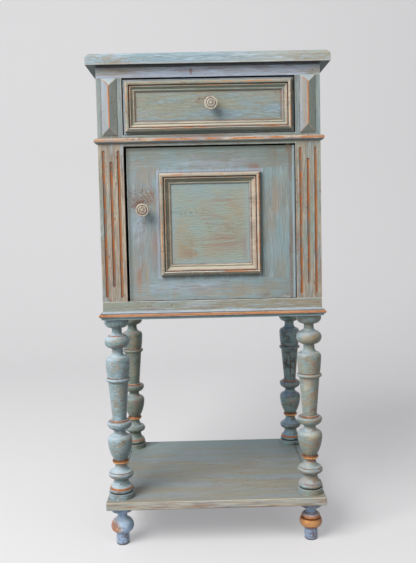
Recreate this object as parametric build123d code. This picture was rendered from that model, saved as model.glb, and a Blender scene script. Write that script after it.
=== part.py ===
from build123d import *
import os

# Bedside cabinet: a carcass with one drawer over one door, on four turned legs with a shelf and turned feet.
# Millimetres. X runs across the front, -Y is the front, Z is up from the floor.
# The model is drawn with the face of the stiles at Y = 0, and export() moves it so that the origin
# lies under the middle of the whole cabinet.

# Driving heights, from the floor up
foot_height = 70.0
shelf_thickness = 14.0
leg_height = 316.0
base_thickness = 14.0
bottom_rail_height = 16.5
door_opening_height = 259.0
mid_rail_height = 18.0
drawer_opening_height = 93.5
top_rail_height = 19.0
top_thickness = 19.0

# Driving widths and depths
carcass_width = 370.0
carcass_depth = 316.0
stile_width = 42.0
face_frame_thickness = 20.0
side_thickness = 18.0
back_thickness = 8.0
top_overhang_side = 15.5
top_overhang_front = 14.0
top_chamfer = 5.5

# Joints of the carcass
glue_gap = 0.1              # play left round a glued tongue or tenon
housing_depth = 5.0         # how far boards are let into the sides
rail_tenon_length = 14.0
stile_tenon_length = 10.0
frame_tenon_thickness = 8.0
frame_tenon_shoulder = 3.0
back_rebate = 8.0
drawer_shelf_thickness = 15.0
guide_height = 26.0
kicker_width = 30.0
kicker_clearance = 1.5
back_rail_height = 22.0
back_rail_thickness = 18.0

# Flutes on the stiles, beside the door
flute_width = 5.0
flute_depth = 1.9
flute_pitch = 12.5
flute_count = 3
flute_end_margin = 6.5
flute_middle_setback = 18.0  # the middle flute is this much shorter at each end

# Facetted blocks on the stiles, beside the drawer
block_width = 25.0
block_height_over_face = 8.5
block_edge = 1.2
block_hip = 13.5

# Mouldings round the carcass
mid_moulding_height = 8.6
mid_moulding_projection = 6.0
base_moulding_projection = 6.4
base_bead_height = 6.8
base_foot_height = 3.4
base_foot_projection = 2.6
base_lip = 0.6

# Panel moulding on the drawer and the door: half-round, quirk, hollow and small inner bead
panel_bead_width = 6.8
panel_bead_crest = 8.0
panel_quirk_width = 1.2
panel_quirk_depth = 2.2
panel_fillet_width = 1.6
panel_inner_bead_width = 3.0
panel_inner_bead_seat = 1.2
panel_inner_edge = 0.6

# Door
door_thickness = 20.0
door_recess = 2.0
door_gap_hinge = 0.7
door_gap_latch = 4.4
door_gap_top = 3.0
door_gap_bottom = 1.0
door_latch_stile_width = 58.6
door_hinge_stile_width = 63.8
door_hinge_round = 3.0       # round on the front arris beside the hinges
door_top_rail_height = 47.4
door_bottom_rail_height = 46.2
door_moulding_width = 18.6
door_moulding_lap = 5.0      # how far the moulding reaches over the stiles and rails
door_panel_thickness = 8.0
door_panel_recess = 3.0
door_groove_depth = 7.0
door_tenon_length = 20.0
door_knob_from_edge = 25.5
door_knob_rise = 151.9       # above the door's lower edge

# Drawer
drawer_recess = 1.5
drawer_front_thickness = 18.0
drawer_front_gap_side = 1.8
drawer_front_gap_top = 2.8
drawer_front_gap_bottom = 1.2
drawer_side_thickness = 10.0
drawer_running_gap = 0.4
drawer_side_height = 84.0
drawer_back_thickness = 10.0
drawer_back_clearance = 0.6
drawer_bottom_thickness = 5.0
drawer_bottom_rise = 7.0     # underside of the bottom above the sides' lower edge
drawer_groove_depth = 5.0
drawer_moulding_width = 16.8
drawer_moulding_margin = 3.0
drawer_knob_offset = 3.8     # the knob sits a little right of the middle
drawer_knob_rise = 2.3       # and a little above it
dovetail_count = 3
dovetail_length = 12.0
dovetail_root = 15.0
dovetail_flare = 2.0

# Knobs and their screws
knob_diameter = 22.0
knob_foot_diameter = 11.0
knob_foot_height = 2.5
knob_neck_diameter = 9.0
knob_neck_height = 6.0
knob_cup_height = 7.0
knob_rim_height = 1.5
knob_crown_height = 1.6
knob_groove_diameter = 17.0
knob_groove_depth = 0.9
knob_ring_diameter = 15.4
knob_ring_rise = 2.0
knob_inner_groove_diameter = 8.6
knob_button_diameter = 7.0
knob_button_rise = 1.8
knob_screw_diameter = 4.0
knob_screw_head_diameter = 8.0
knob_screw_head_height = 2.4
knob_screw_grip = 9.0        # thread length inside the knob
screw_hole_clearance = 0.25
screw_point_share = 0.4      # flat of a screw's point, as a share of its diameter

# Pivot hinges at the door's right edge
pivot_from_edge = 12.0
pivot_from_face = 5.5
pivot_pin_diameter = 5.0
pivot_running_clearance = 0.05
pivot_pin_reach = 5.0        # past the door leaf, into the stile
pivot_collar_diameter = 8.5
pivot_collar_gap = 0.15
pivot_bore_play = 0.5        # room round the pin's end inside the stile
hinge_leaf_thickness = 2.0
hinge_leaf_width = 9.0
hinge_leaf_length = 38.0
hinge_leaf_nose = 6.5        # leaf end beyond the pin
hinge_screw_diameter = 2.6
hinge_screw_head_diameter = 5.0
hinge_screw_length = 12.0
hinge_screw_pitch = 16.0
hinge_screw_from_pin = 10.0

# Magnetic catch under the drawer shelf
catch_width = 30.0
catch_depth = 13.0
catch_height = 19.0
catch_from_opening = 26.0
strike_width = 22.0
strike_height = 12.0
strike_thickness = 1.0
strike_from_top = 2.0
catch_gap = 0.3
catch_chamfer = 1.6

# Screws of the back panel
back_screw_rows = 4
back_screw_diameter = 3.5
back_screw_head_diameter = 7.0
back_screw_length = 22.0
back_screw_from_edge = 4.0
back_screw_from_end = 30.0

# Legs: where they stand, and their tenons
leg_inset_side = 19.0
leg_inset_front = 26.0
leg_upper_tenon_diameter = 20.0
leg_lower_tenon_diameter = 14.0
foot_socket_depth = 14.0
tenon_fit = 0.1
tenon_end_gap = 0.6

# Leg turning, from the shelf up: diameters and heights of its members
leg_plinth_diameter = 43.6
leg_plinth_height = 9.7
leg_plinth_quirk = 1.0
leg_torus_diameter = 41.6
leg_torus_height = 7.3
leg_ledge_diameter = 38.6
leg_ledge_height = 1.4
leg_reel_diameter = 25.4
leg_reel_rise = 11.0
leg_ring_foot_diameter = 31.0
leg_ring_foot_rise = 5.0
leg_low_ring_diameter = 43.2
leg_low_ring_rise = 6.4
leg_low_ring_top_diameter = 38.6
leg_low_ring_fall = 3.6
leg_line_diameter = 37.2
leg_line_height = 0.7
leg_fillet_diameter = 38.0
leg_fillet_height = 0.9
leg_neck_diameter = 19.6
leg_low_cone_height = 11.6
leg_neck_height = 2.0
leg_copper_bead_diameter = 29.0
leg_copper_bead_height = 7.6
leg_vase_foot_diameter = 24.2
leg_vase_diameter = 42.8
leg_vase_body_height = 34.3
leg_vase_shoulder_diameter = 34.0
leg_vase_shoulder_height = 7.5
leg_vase_ledge_diameter = 32.4
leg_vase_neck_diameter = 20.6
leg_vase_cove_height = 7.8
leg_vase_neck_height = 3.2
leg_mid_ring_foot_diameter = 22.4
leg_mid_ring_diameter = 43.0
leg_mid_ring_rise = 10.8
leg_mid_ring_top_diameter = 36.0
leg_mid_ring_fall = 3.7
leg_mid_collar_diameter = 29.6
leg_mid_collar_height = 2.8
leg_taper_foot_diameter = 24.2
leg_taper_top_diameter = 35.2
leg_thin_ring_diameter = 43.2
leg_thin_ring_height = 6.0
leg_thin_ring_quirk = 1.8
leg_barrel_foot_diameter = 37.2
leg_barrel_diameter = 41.5
leg_barrel_height = 28.6
leg_barrel_shoulder_diameter = 36.0
leg_barrel_shoulder_height = 5.8
leg_barrel_ledge_diameter = 34.2
leg_barrel_ledge_height = 0.7
leg_waist_diameter = 19.2
leg_waist_cove_height = 8.6
leg_waist_height = 6.4
leg_ball_foot_diameter = 20.6
leg_ball_diameter = 43.8
leg_ball_rise = 12.2
leg_ball_top_diameter = 30.0
leg_ball_fall = 9.6
leg_cuff_diameter = 28.2
leg_cuff_height = 0.9
leg_cuff_cove_height = 6.0
leg_top_neck_diameter = 17.0
leg_top_neck_height = 7.0
leg_cap_foot_diameter = 20.0
leg_cap_diameter = 43.4
leg_cap_rise = 11.0
leg_cap_top_diameter = 39.6
leg_cap_fall = 5.8

# Foot turning, from the floor up; the front right foot alone has a ring over its ball
foot_stub_diameter = 22.8
foot_stub_height = 22.0
foot_stub_round = 1.8
foot_ball_foot_diameter = 25.0
foot_ball_diameter = 39.8
foot_ball_rise = 10.0
foot_shoulder_diameter = 29.0
foot_shoulder_rise = 11.6
foot_neck_diameter = 16.8
foot_cove_height = 6.8
foot_ring_seat_diameter = 35.0
foot_ring_seat_rise = 6.8
foot_ring_diameter = 33.8
foot_ring_height = 2.8
foot_ring_groove_diameter = 30.6
foot_ring_groove_height = 0.6
foot_ring_dome_foot_diameter = 32.0
foot_ring_dome_rise = 3.8
foot_ring_dome_diameter = 25.0
foot_ringed_neck_diameter = 19.0
foot_neck_height = 1.0
foot_flare_diameter = 35.0
foot_flare_height = 8.6
foot_cap_diameter = 37.0

# Under-shelf: its margins outside the leg axes
shelf_margin_side = 24.0
shelf_margin_front = 29.5
shelf_edge_round = 1.6

# Shape of hollows and swells: sagitta as a share of the chord, a quarter circle being 0.207
quarter_round = 0.207
soft_round = 0.11
shortest_line = 0.001        # a turning leaves out anything shorter

# Levels from the floor
shelf_bottom = foot_height
shelf_top = shelf_bottom + shelf_thickness
base_bottom = shelf_top + leg_height
base_top = base_bottom + base_thickness
door_opening_bottom = base_top + bottom_rail_height
door_opening_top = door_opening_bottom + door_opening_height
drawer_opening_bottom = door_opening_top + mid_rail_height
drawer_opening_top = drawer_opening_bottom + drawer_opening_height
carcass_top = drawer_opening_top + top_rail_height
top_surface = carcass_top + top_thickness

# Places across and in depth
half_width = carcass_width / 2
opening_half = half_width - stile_width
inner_half = half_width - side_thickness
leg_x = half_width - leg_inset_side
leg_front_y = leg_inset_front
leg_rear_y = carcass_depth - leg_inset_front
back_face_y = carcass_depth - back_thickness
shelf_front_y = leg_front_y - shelf_margin_front
shelf_rear_y = leg_rear_y + shelf_margin_front
ringed_foot = "front_right"
leg_places = {
    "front_left": (-leg_x, leg_front_y),
    "front_right": (leg_x, leg_front_y),
    "rear_left": (-leg_x, leg_rear_y),
    "rear_right": (leg_x, leg_rear_y),
}

door_left = -opening_half + door_gap_latch
door_right = opening_half - door_gap_hinge
door_bottom = door_opening_bottom + door_gap_bottom
door_top = door_opening_top - door_gap_top
door_back_y = door_recess + door_thickness
pivot_x = door_right - pivot_from_edge
pivot_y = door_recess + pivot_from_face

drawer_front_half = opening_half - drawer_front_gap_side
drawer_front_bottom = drawer_opening_bottom + drawer_front_gap_bottom
drawer_front_top = drawer_opening_top - drawer_front_gap_top
drawer_side_bottom = drawer_opening_bottom + drawer_running_gap
drawer_side_top = drawer_side_bottom + drawer_side_height
drawer_back_y = back_face_y - drawer_back_clearance
drawer_front_inner_y = drawer_recess + drawer_front_thickness
drawer_middle_z = (drawer_front_bottom + drawer_front_top) / 2
drawer_floor = drawer_side_bottom + drawer_bottom_rise + drawer_bottom_thickness
kicker_bottom = drawer_side_top + kicker_clearance

knob_length = (knob_foot_height + knob_neck_height + knob_cup_height + knob_rim_height + knob_crown_height
               + knob_ring_rise + knob_button_rise - 2 * knob_groove_depth)
front_reach = min(-top_overhang_front, drawer_recess - knob_length, door_recess - knob_length, shelf_front_y)
rear_reach = max(carcass_depth, shelf_rear_y)
middle_y = (front_reach + rear_reach) / 2


# Helpers

def board(x_range, y_range, z_range):
    """A rectangular board between two corners."""
    sizes = [high - low for low, high in (x_range, y_range, z_range)]
    middle = [(low + high) / 2 for low, high in (x_range, y_range, z_range)]
    return Pos(*middle) * Box(*sizes)


def mirrored(shape, side):
    """The shape itself on the right (side 1), its mirror image on the left (side -1)."""
    return shape if side > 0 else mirror(shape, Plane.YZ)


def export(name, *solids):
    """Writes one node, moved so that the origin lies under the middle of the cabinet."""
    shape = solids[0] if len(solids) == 1 else Compound(list(solids))
    export_step(Pos(0, -middle_y, 0) * shape, f"parts/{name}.step")


class Turning:
    """Outline of a lathe-turned piece, drawn upwards beside its axis, then turned about Z."""

    def __init__(self, diameter):
        self.radius = diameter / 2
        self.height = 0.0
        self.edges = [Line((0, 0), (self.radius, 0))]

    def _add(self, edge, radius, height):
        self.edges.append(edge)
        self.radius = radius
        self.height = height

    def line(self, diameter, rise=0.0):
        """Straight to a new diameter: a cylinder, a cone or, with no rise, a flat step."""
        end = (diameter / 2, self.height + rise)
        if abs(end[0] - self.radius) + abs(rise) > shortest_line:
            self._add(Line((self.radius, self.height), end), *end)

    def step(self, diameter, rise):
        """A flat step to the diameter, then a cylinder: a plinth, ledge, groove, collar or fillet."""
        self.line(diameter)
        self.line(diameter, rise)

    def bead(self, diameter, rise):
        """A half-round that stands out to the diameter."""
        core = diameter / 2 - rise / 2
        self.line(2 * core)
        crest = (diameter / 2, self.height + rise / 2)
        end = (core, self.height + rise)
        self._add(ThreePointArc((core, self.height), crest, end), *end)

    def arc_ending_upright(self, diameter, rise):
        """An arc to the diameter, upright where it ends: a crown if it widens, a cove if it narrows."""
        end = (diameter / 2, self.height + rise)
        self._add(TangentArc(end, (self.radius, self.height), tangent=(0, -1)), *end)

    def arc_starting_upright(self, diameter, rise):
        """An arc to the diameter, upright where it starts: a shoulder if it narrows, a flare if it widens."""
        end = (diameter / 2, self.height + rise)
        self._add(TangentArc((self.radius, self.height), end, tangent=(0, 1)), *end)

    def dome(self, rise):
        """A convex arc in to the axis, level where it ends."""
        end = (0, self.height + rise)
        self._add(TangentArc(end, (self.radius, self.height), tangent=(1, 0)), *end)

    def swell(self, diameter, rise):
        """A convex arc to a new diameter, a quarter circle where it is as wide as it is high."""
        start = (self.radius, self.height)
        end = (diameter / 2, self.height + rise)
        chord = ((end[0] - start[0]) ** 2 + (end[1] - start[1]) ** 2) ** 0.5
        self._add(SagittaArc(start, end, -quarter_round * chord), *end)

    def stack(self, upper):
        """Adds the outline of another turning, which starts with this one's diameter."""
        self.edges += [Pos(0, self.height) * edge for edge in upper.edges[1:]]
        self.radius = upper.radius
        self.height += upper.height

    def solid(self):
        self.line(0)
        self.edges.append(Line((0, self.height), (0, 0)))
        return revolve(Plane.XZ * make_face(self.edges), Axis.Z)


def panel_moulding_profile(width, drop, lap):
    """Section of the panel moulding: X inwards from its outer edge, Y out of the face it stands on.

    Its inner part sits lower by the drop, behind a rebate that laps over the edge of the frame."""
    bead_foot = panel_bead_crest - panel_bead_width / 2
    quirk_end = panel_bead_width + panel_quirk_width
    hollow_start = (quirk_end + panel_fillet_width, bead_foot)
    inner_bead_end = width - panel_inner_edge
    inner_bead_start = inner_bead_end - panel_inner_bead_width
    seat = panel_inner_bead_seat - drop
    crest = (inner_bead_end - panel_inner_bead_width / 2, seat + panel_inner_bead_width / 2)
    hollow_chord = ((inner_bead_start - hollow_start[0]) ** 2 + (hollow_start[1] - seat) ** 2) ** 0.5
    edges = [
        Line((0, 0), (0, bead_foot)),
        ThreePointArc((0, bead_foot), (panel_bead_width / 2, panel_bead_crest),
                      (panel_bead_width, bead_foot)),
        Polyline((panel_bead_width, bead_foot), (panel_bead_width, bead_foot - panel_quirk_depth),
                 (quirk_end, bead_foot - panel_quirk_depth), (quirk_end, bead_foot), hollow_start),
        SagittaArc(hollow_start, (inner_bead_start, seat), -soft_round * hollow_chord),
        ThreePointArc((inner_bead_start, seat), crest, (inner_bead_end, seat)),
        Polyline((inner_bead_end, seat), (width, seat), (width, -drop)),
    ]
    if drop:
        edges.append(Polyline((width, -drop), (lap, -drop), (lap, 0), (0, 0)))
    else:
        edges.append(Line((width, 0), (0, 0)))
    return make_face(edges)


def mitred_frame(profile, width, height):
    """Four mitred lengths round a rectangle centred on the origin, named by their side."""
    pieces = {}
    spans = {
        "bottom": (width, height),
        "right": (height, width),
        "top": (width, height),
        "left": (height, width),
    }
    for turn, (side, (run, across)) in enumerate(spans.items()):
        low = -across / 2
        section_plane = Plane(origin=(-run / 2, 0, low), x_dir=(0, 0, 1), z_dir=(1, 0, 0))
        bar = extrude(section_plane * profile, run)
        mitre = Polyline((-run / 2, low), (run / 2, low), (0, low + run / 2), close=True)
        wedge = extrude(Plane.XZ * make_face(mitre), panel_bead_crest, both=True)
        pieces[side] = Rot(0, -90 * turn, 0) * (bar & wedge)
    return pieces


def mitred_surround(profile, reach, low):
    """Front and side lengths of a moulding round the carcass, mitred at the front corners.

    The profile is drawn with X outwards from the carcass and Y up from the moulding's lower edge."""
    front_plane = Plane(origin=(half_width + reach, 0, low), x_dir=(0, -1, 0), z_dir=(-1, 0, 0))
    front_bar = extrude(front_plane * profile, carcass_width + 2 * reach)
    side_plane = Plane(origin=(half_width, carcass_depth, low), x_dir=(1, 0, 0), z_dir=(0, -1, 0))
    side_bar = extrude(side_plane * profile, carcass_depth + reach)
    front_cut = Polyline((-half_width - reach, -reach), (half_width + reach, -reach), (half_width, 0),
                         (-half_width, 0), close=True)
    side_cut = Polyline((half_width, 0), (half_width + reach, -reach), (half_width + reach, carcass_depth),
                        (half_width, carcass_depth), close=True)
    front = front_bar & extrude(make_face(front_cut), top_surface)
    right = side_bar & extrude(make_face(side_cut), top_surface)
    return {"front": front, "left": mirrored(right, -1), "right": right}


def countersunk_screw(diameter, head_diameter, length):
    """A countersunk wood screw that points down from a head flush with Z = 0."""
    head_height = (head_diameter - diameter) / 2
    point_height = diameter
    screw = Turning(screw_point_share * diameter)
    screw.line(diameter, point_height)
    screw.line(diameter, length - head_height - point_height)
    screw.line(head_diameter, head_height)
    return Pos(0, 0, -length) * screw.solid()


# Legs, feet and shelf

def leg():
    """One turned leg with its tenons, standing on the shelf's top at Z = 0."""
    lower_tenon = shelf_thickness + foot_socket_depth - tenon_end_gap
    turned = Turning(leg_lower_tenon_diameter)
    turned.line(leg_lower_tenon_diameter, lower_tenon)
    # plinth, torus and a flare up to the reel
    turned.step(leg_plinth_diameter, leg_plinth_height)
    turned.step(leg_torus_diameter - leg_torus_height, leg_plinth_quirk)
    turned.bead(leg_torus_diameter, leg_torus_height)
    turned.step(leg_ledge_diameter, leg_ledge_height)
    turned.arc_ending_upright(leg_reel_diameter, leg_reel_rise)
    # low ring with a line cut above it, cone and copper bead
    turned.arc_starting_upright(leg_ring_foot_diameter, leg_ring_foot_rise)
    turned.arc_ending_upright(leg_low_ring_diameter, leg_low_ring_rise)
    turned.arc_starting_upright(leg_low_ring_top_diameter, leg_low_ring_fall)
    turned.step(leg_line_diameter, leg_line_height)
    turned.step(leg_fillet_diameter, leg_fillet_height)
    turned.arc_ending_upright(leg_neck_diameter, leg_low_cone_height)
    turned.line(leg_neck_diameter, leg_neck_height)
    turned.bead(leg_copper_bead_diameter, leg_copper_bead_height)
    # vase with its shoulder and cove
    turned.line(leg_vase_foot_diameter)
    turned.arc_ending_upright(leg_vase_diameter, leg_vase_body_height)
    turned.arc_starting_upright(leg_vase_shoulder_diameter, leg_vase_shoulder_height)
    turned.line(leg_vase_ledge_diameter)
    turned.arc_ending_upright(leg_vase_neck_diameter, leg_vase_cove_height)
    turned.line(leg_vase_neck_diameter, leg_vase_neck_height)
    # middle ring and collar
    turned.line(leg_mid_ring_foot_diameter)
    turned.arc_ending_upright(leg_mid_ring_diameter, leg_mid_ring_rise)
    turned.arc_starting_upright(leg_mid_ring_top_diameter, leg_mid_ring_fall)
    turned.step(leg_mid_collar_diameter, leg_mid_collar_height)
    turned.line(leg_taper_foot_diameter)
    # what stands on the long taper: thin ring, barrel, waist, ball, cuff and cap under the base
    upper = Turning(leg_taper_top_diameter)
    upper.bead(leg_thin_ring_diameter, leg_thin_ring_height)
    upper.step(leg_taper_top_diameter, leg_thin_ring_quirk)
    upper.line(leg_barrel_foot_diameter)
    upper.arc_ending_upright(leg_barrel_diameter, leg_barrel_height)
    upper.arc_starting_upright(leg_barrel_shoulder_diameter, leg_barrel_shoulder_height)
    upper.step(leg_barrel_ledge_diameter, leg_barrel_ledge_height)
    upper.arc_ending_upright(leg_waist_diameter, leg_waist_cove_height)
    upper.line(leg_waist_diameter, leg_waist_height)
    upper.line(leg_ball_foot_diameter)
    upper.arc_ending_upright(leg_ball_diameter, leg_ball_rise)
    upper.arc_starting_upright(leg_ball_top_diameter, leg_ball_fall)
    upper.step(leg_cuff_diameter, leg_cuff_height)
    upper.arc_ending_upright(leg_top_neck_diameter, leg_cuff_cove_height)
    upper.line(leg_top_neck_diameter, leg_top_neck_height)
    upper.line(leg_cap_foot_diameter)
    upper.arc_ending_upright(leg_cap_diameter, leg_cap_rise)
    upper.arc_starting_upright(leg_cap_top_diameter, leg_cap_fall)
    turned.line(leg_taper_top_diameter, leg_height + lower_tenon - turned.height - upper.height)
    turned.stack(upper)
    turned.line(leg_upper_tenon_diameter)
    turned.line(leg_upper_tenon_diameter, base_thickness - tenon_end_gap)
    return Pos(0, 0, -lower_tenon) * turned.solid()


def foot(ringed):
    """One turned foot, standing on the floor at Z = 0, with the socket for the leg's lower tenon."""
    turned = Turning(foot_stub_diameter - 2 * foot_stub_round)
    turned.swell(foot_stub_diameter, foot_stub_round)
    turned.line(foot_stub_diameter, foot_stub_height - foot_stub_round)
    # ball, with a ring and a small dome on it or with a cove up to the neck
    turned.line(foot_ball_foot_diameter)
    turned.arc_ending_upright(foot_ball_diameter, foot_ball_rise)
    neck_top = turned.height + foot_shoulder_rise + foot_cove_height + foot_neck_height
    if ringed:
        turned.arc_starting_upright(foot_ring_seat_diameter, foot_ring_seat_rise)
        turned.step(foot_ring_groove_diameter, foot_ring_groove_height)
        turned.bead(foot_ring_diameter, foot_ring_height)
        turned.step(foot_ring_groove_diameter, foot_ring_groove_height)
        turned.line(foot_ring_dome_foot_diameter)
        turned.arc_starting_upright(foot_ring_dome_diameter, foot_ring_dome_rise)
        turned.line(foot_ringed_neck_diameter)
    else:
        turned.arc_starting_upright(foot_shoulder_diameter, foot_shoulder_rise)
        turned.arc_ending_upright(foot_neck_diameter, foot_cove_height)
    turned.line(2 * turned.radius, neck_top - turned.height)
    # flare and cap under the shelf
    turned.arc_starting_upright(foot_flare_diameter, foot_flare_height)
    turned.line(foot_cap_diameter)
    turned.line(foot_cap_diameter, foot_height - turned.height)
    socket = Cylinder(leg_lower_tenon_diameter / 2 + tenon_fit, foot_socket_depth)
    return turned.solid() - Pos(0, 0, foot_height - foot_socket_depth / 2) * socket


def tenon_holes(diameter, z_range):
    """Round holes for the tenons of all four legs."""
    low, high = z_range
    hole = Cylinder(diameter / 2 + tenon_fit, high - low)
    return [Pos(x, y, (low + high) / 2) * hole for x, y in leg_places.values()]


def build_stand():
    turned_leg = leg()
    for place, (x, y) in leg_places.items():
        export(f"leg_{place}", Pos(x, y, shelf_top) * turned_leg)
        export(f"foot_{place}", Pos(x, y, 0) * foot(ringed=place == ringed_foot))
    shelf_half = leg_x + shelf_margin_side
    shelf = board((-shelf_half, shelf_half), (shelf_front_y, shelf_rear_y), (shelf_bottom, shelf_top))
    shelf = fillet(shelf.edges(), shelf_edge_round)
    export("under_shelf", shelf - tenon_holes(leg_lower_tenon_diameter, (shelf_bottom, shelf_top)))


# Carcass

def frame_member(body_x, body_z, tenon_x, tenon_z, play):
    """A board of the face frame with a tenon through both ends. Play enlarges the tenons alone."""
    cheek = (face_frame_thickness - frame_tenon_thickness) / 2
    tenon_ranges = (tenon_x, (cheek, face_frame_thickness - cheek), tenon_z)
    tenon = board(*[(low - play, high + play) for low, high in tenon_ranges])
    return board(body_x, (0, face_frame_thickness), body_z) + tenon


def mid_rail(play=0.0):
    """The rail between door and drawer, tenoned into both stiles."""
    reach = opening_half + rail_tenon_length
    tenon_z = (door_opening_top + frame_tenon_shoulder, drawer_opening_bottom - frame_tenon_shoulder)
    return frame_member((-opening_half, opening_half), (door_opening_top, drawer_opening_bottom),
                        (-reach, reach), tenon_z, play)


def stile(play=0.0):
    """The right stile, tenoned into the rails under and over it."""
    tenon_x = (opening_half + frame_tenon_shoulder, half_width - frame_tenon_shoulder)
    tenon_z = (door_opening_bottom - stile_tenon_length, drawer_opening_top + stile_tenon_length)
    return frame_member((opening_half, half_width), (door_opening_bottom, drawer_opening_top),
                        tenon_x, tenon_z, play)


def stile_flutes():
    """Round-ended flutes on the right stile beside the door."""
    radius = (flute_width ** 2 / 4 + flute_depth ** 2) / (2 * flute_depth)
    middle = (flute_count - 1) / 2
    flutes = []
    for number in range(flute_count):
        step = number - middle
        setback = 0 if number in (0, flute_count - 1) else flute_middle_setback
        low = door_opening_bottom + flute_end_margin + setback + flute_width / 2
        high = door_opening_top - flute_end_margin - setback - flute_width / 2
        x = opening_half + stile_width / 2 + step * flute_pitch
        y = flute_depth - radius
        groove = Pos(x, y, (low + high) / 2) * Cylinder(radius, high - low)
        flutes.append(groove + Pos(x, y, low) * Sphere(radius) + Pos(x, y, high) * Sphere(radius))
    return flutes


def facet_block():
    """A hipped block on the right stile beside the drawer."""
    half_across = block_width / 2
    half_along = drawer_opening_height / 2
    gable = Polyline((-half_across, 0), (half_across, 0), (half_across, block_edge),
                     (0, block_height_over_face), (-half_across, block_edge), close=True)
    ridge = Polyline((-half_along, 0), (half_along, 0), (half_along, block_edge),
                     (half_along - block_hip, block_height_over_face),
                     (block_hip - half_along, block_height_over_face), (-half_along, block_edge), close=True)
    gable_plane = Plane(origin=(0, 0, 0), x_dir=(-1, 0, 0), z_dir=(0, 0, 1))
    ridge_plane = Plane(origin=(0, 0, 0), x_dir=(0, 0, 1), z_dir=(1, 0, 0))
    gabled = extrude(gable_plane * make_face(gable), half_along, both=True)
    hipped = extrude(ridge_plane * make_face(ridge), half_across, both=True)
    middle_z = (drawer_opening_bottom + drawer_opening_top) / 2
    return Pos(opening_half + stile_width / 2, 0, middle_z) * (gabled & hipped)


def build_face_frame(case_screws, case_recesses):
    export("mid_rail", mid_rail() - case_recesses - case_screws)
    mortises = [mirrored(stile(glue_gap), side) for side in (-1, 1)]
    long_rails = {
        "bottom_rail": (base_top, door_opening_bottom),
        "top_rail": (drawer_opening_top, carcass_top),
    }
    for name, z_range in long_rails.items():
        rail = board((-half_width, half_width), (0, face_frame_thickness), z_range)
        export(name, rail - mortises - case_recesses - case_screws)
    fluted_stile = stile() - stile_flutes() - mid_rail(glue_gap)
    for side, name in ((-1, "left"), (1, "right")):
        export(f"face_stile_{name}", mirrored(fluted_stile, side))
        export(f"facet_block_{name}", mirrored(facet_block(), side))


def build_mouldings():
    bead = mid_moulding_height / 2
    core = mid_moulding_projection - bead
    mid_profile = make_face([
        Line((0, 0), (core, 0)),
        ThreePointArc((core, 0), (mid_moulding_projection, bead), (core, mid_moulding_height)),
        Polyline((core, mid_moulding_height), (0, mid_moulding_height), (0, 0)),
    ])
    mid_low = (door_opening_top + drawer_opening_bottom - mid_moulding_height) / 2

    core = base_moulding_projection - base_bead_height / 2
    bead_top = base_foot_height + base_bead_height
    hollow = base_thickness - bead_top
    base_profile = make_face([
        Line((0, 0), (base_foot_projection, 0)),
        Line((base_foot_projection, 0), (core, base_foot_height)),
        ThreePointArc((core, base_foot_height),
                      (base_moulding_projection, base_foot_height + base_bead_height / 2), (core, bead_top)),
        SagittaArc((core, bead_top), (base_lip, base_thickness), quarter_round * hollow),
        Polyline((base_lip, base_thickness), (0, base_thickness), (0, 0)),
    ])
    for side, piece in mitred_surround(mid_profile, mid_moulding_projection, mid_low).items():
        export(f"mid_moulding_{side}", piece)
    for side, piece in mitred_surround(base_profile, base_moulding_projection, base_bottom).items():
        export(f"base_moulding_{side}", piece)


def back_screws():
    """Countersunk screws that hold the back panel in the rebates of the sides."""
    screw = countersunk_screw(back_screw_diameter, back_screw_head_diameter, back_screw_length)
    x = inner_half + back_rebate - back_screw_from_edge
    low = base_top + back_screw_from_end
    step = (carcass_top - back_screw_from_end - low) / (back_screw_rows - 1)
    return [Pos(side * x, carcass_depth, low + row * step) * Rot(-90, 0, 0) * screw
            for side in (-1, 1) for row in range(back_screw_rows)]


def build_case():
    screws = back_screws()
    export("back_panel_screws", *screws)

    top_half = half_width + top_overhang_side
    top = board((-top_half, top_half), (-top_overhang_front, carcass_depth), (carcass_top, top_surface))
    upper_edges = top.faces().sort_by(Axis.Z)[-1].edges().sort_by(Axis.Y)
    export("top_board", chamfer(upper_edges[:-1], top_chamfer))

    base = board((-half_width, half_width), (0, carcass_depth), (base_bottom, base_top))
    export("base_board", base - tenon_holes(leg_upper_tenon_diameter, (base_bottom, base_top)))

    shelf_y = (face_frame_thickness, back_face_y)
    shelf_z = (drawer_opening_bottom - drawer_shelf_thickness, drawer_opening_bottom)
    rail_y = (back_face_y - back_rail_thickness, back_face_y)
    rail_z = (carcass_top - back_rail_height, carcass_top)
    housed_half = inner_half + housing_depth
    fitted_half = housed_half - glue_gap
    export("drawer_shelf", board((-fitted_half, fitted_half), shelf_y, shelf_z))
    export("back_rail", board((-fitted_half, fitted_half), rail_y, rail_z))

    rebate_half = inner_half + back_rebate
    side_z = (base_top, carcass_top)
    panel_half = rebate_half - glue_gap
    panel = board((-panel_half, panel_half), (back_face_y, carcass_depth), side_z)
    export("back_panel", panel - screws)
    side = board((inner_half, half_width), (face_frame_thickness, carcass_depth), side_z)
    side -= board((0, housed_half), shelf_y, shelf_z)
    side -= board((0, housed_half), rail_y, rail_z)
    side -= board((0, rebate_half), (back_face_y, carcass_depth), side_z)
    side -= screws
    export("side_panel_left", mirrored(side, -1))
    export("side_panel_right", side)

    guide_z = (drawer_opening_bottom, drawer_opening_bottom + guide_height)
    guide = board((opening_half, inner_half), shelf_y, guide_z)
    export("drawer_guides", mirrored(guide, -1), guide)
    kicker_x = (-kicker_width / 2, kicker_width / 2)
    kicker_y = (face_frame_thickness, back_face_y - back_rail_thickness)
    export("drawer_kicker", board(kicker_x, kicker_y, (kicker_bottom, carcass_top)))


# Hinges and catch

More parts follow.
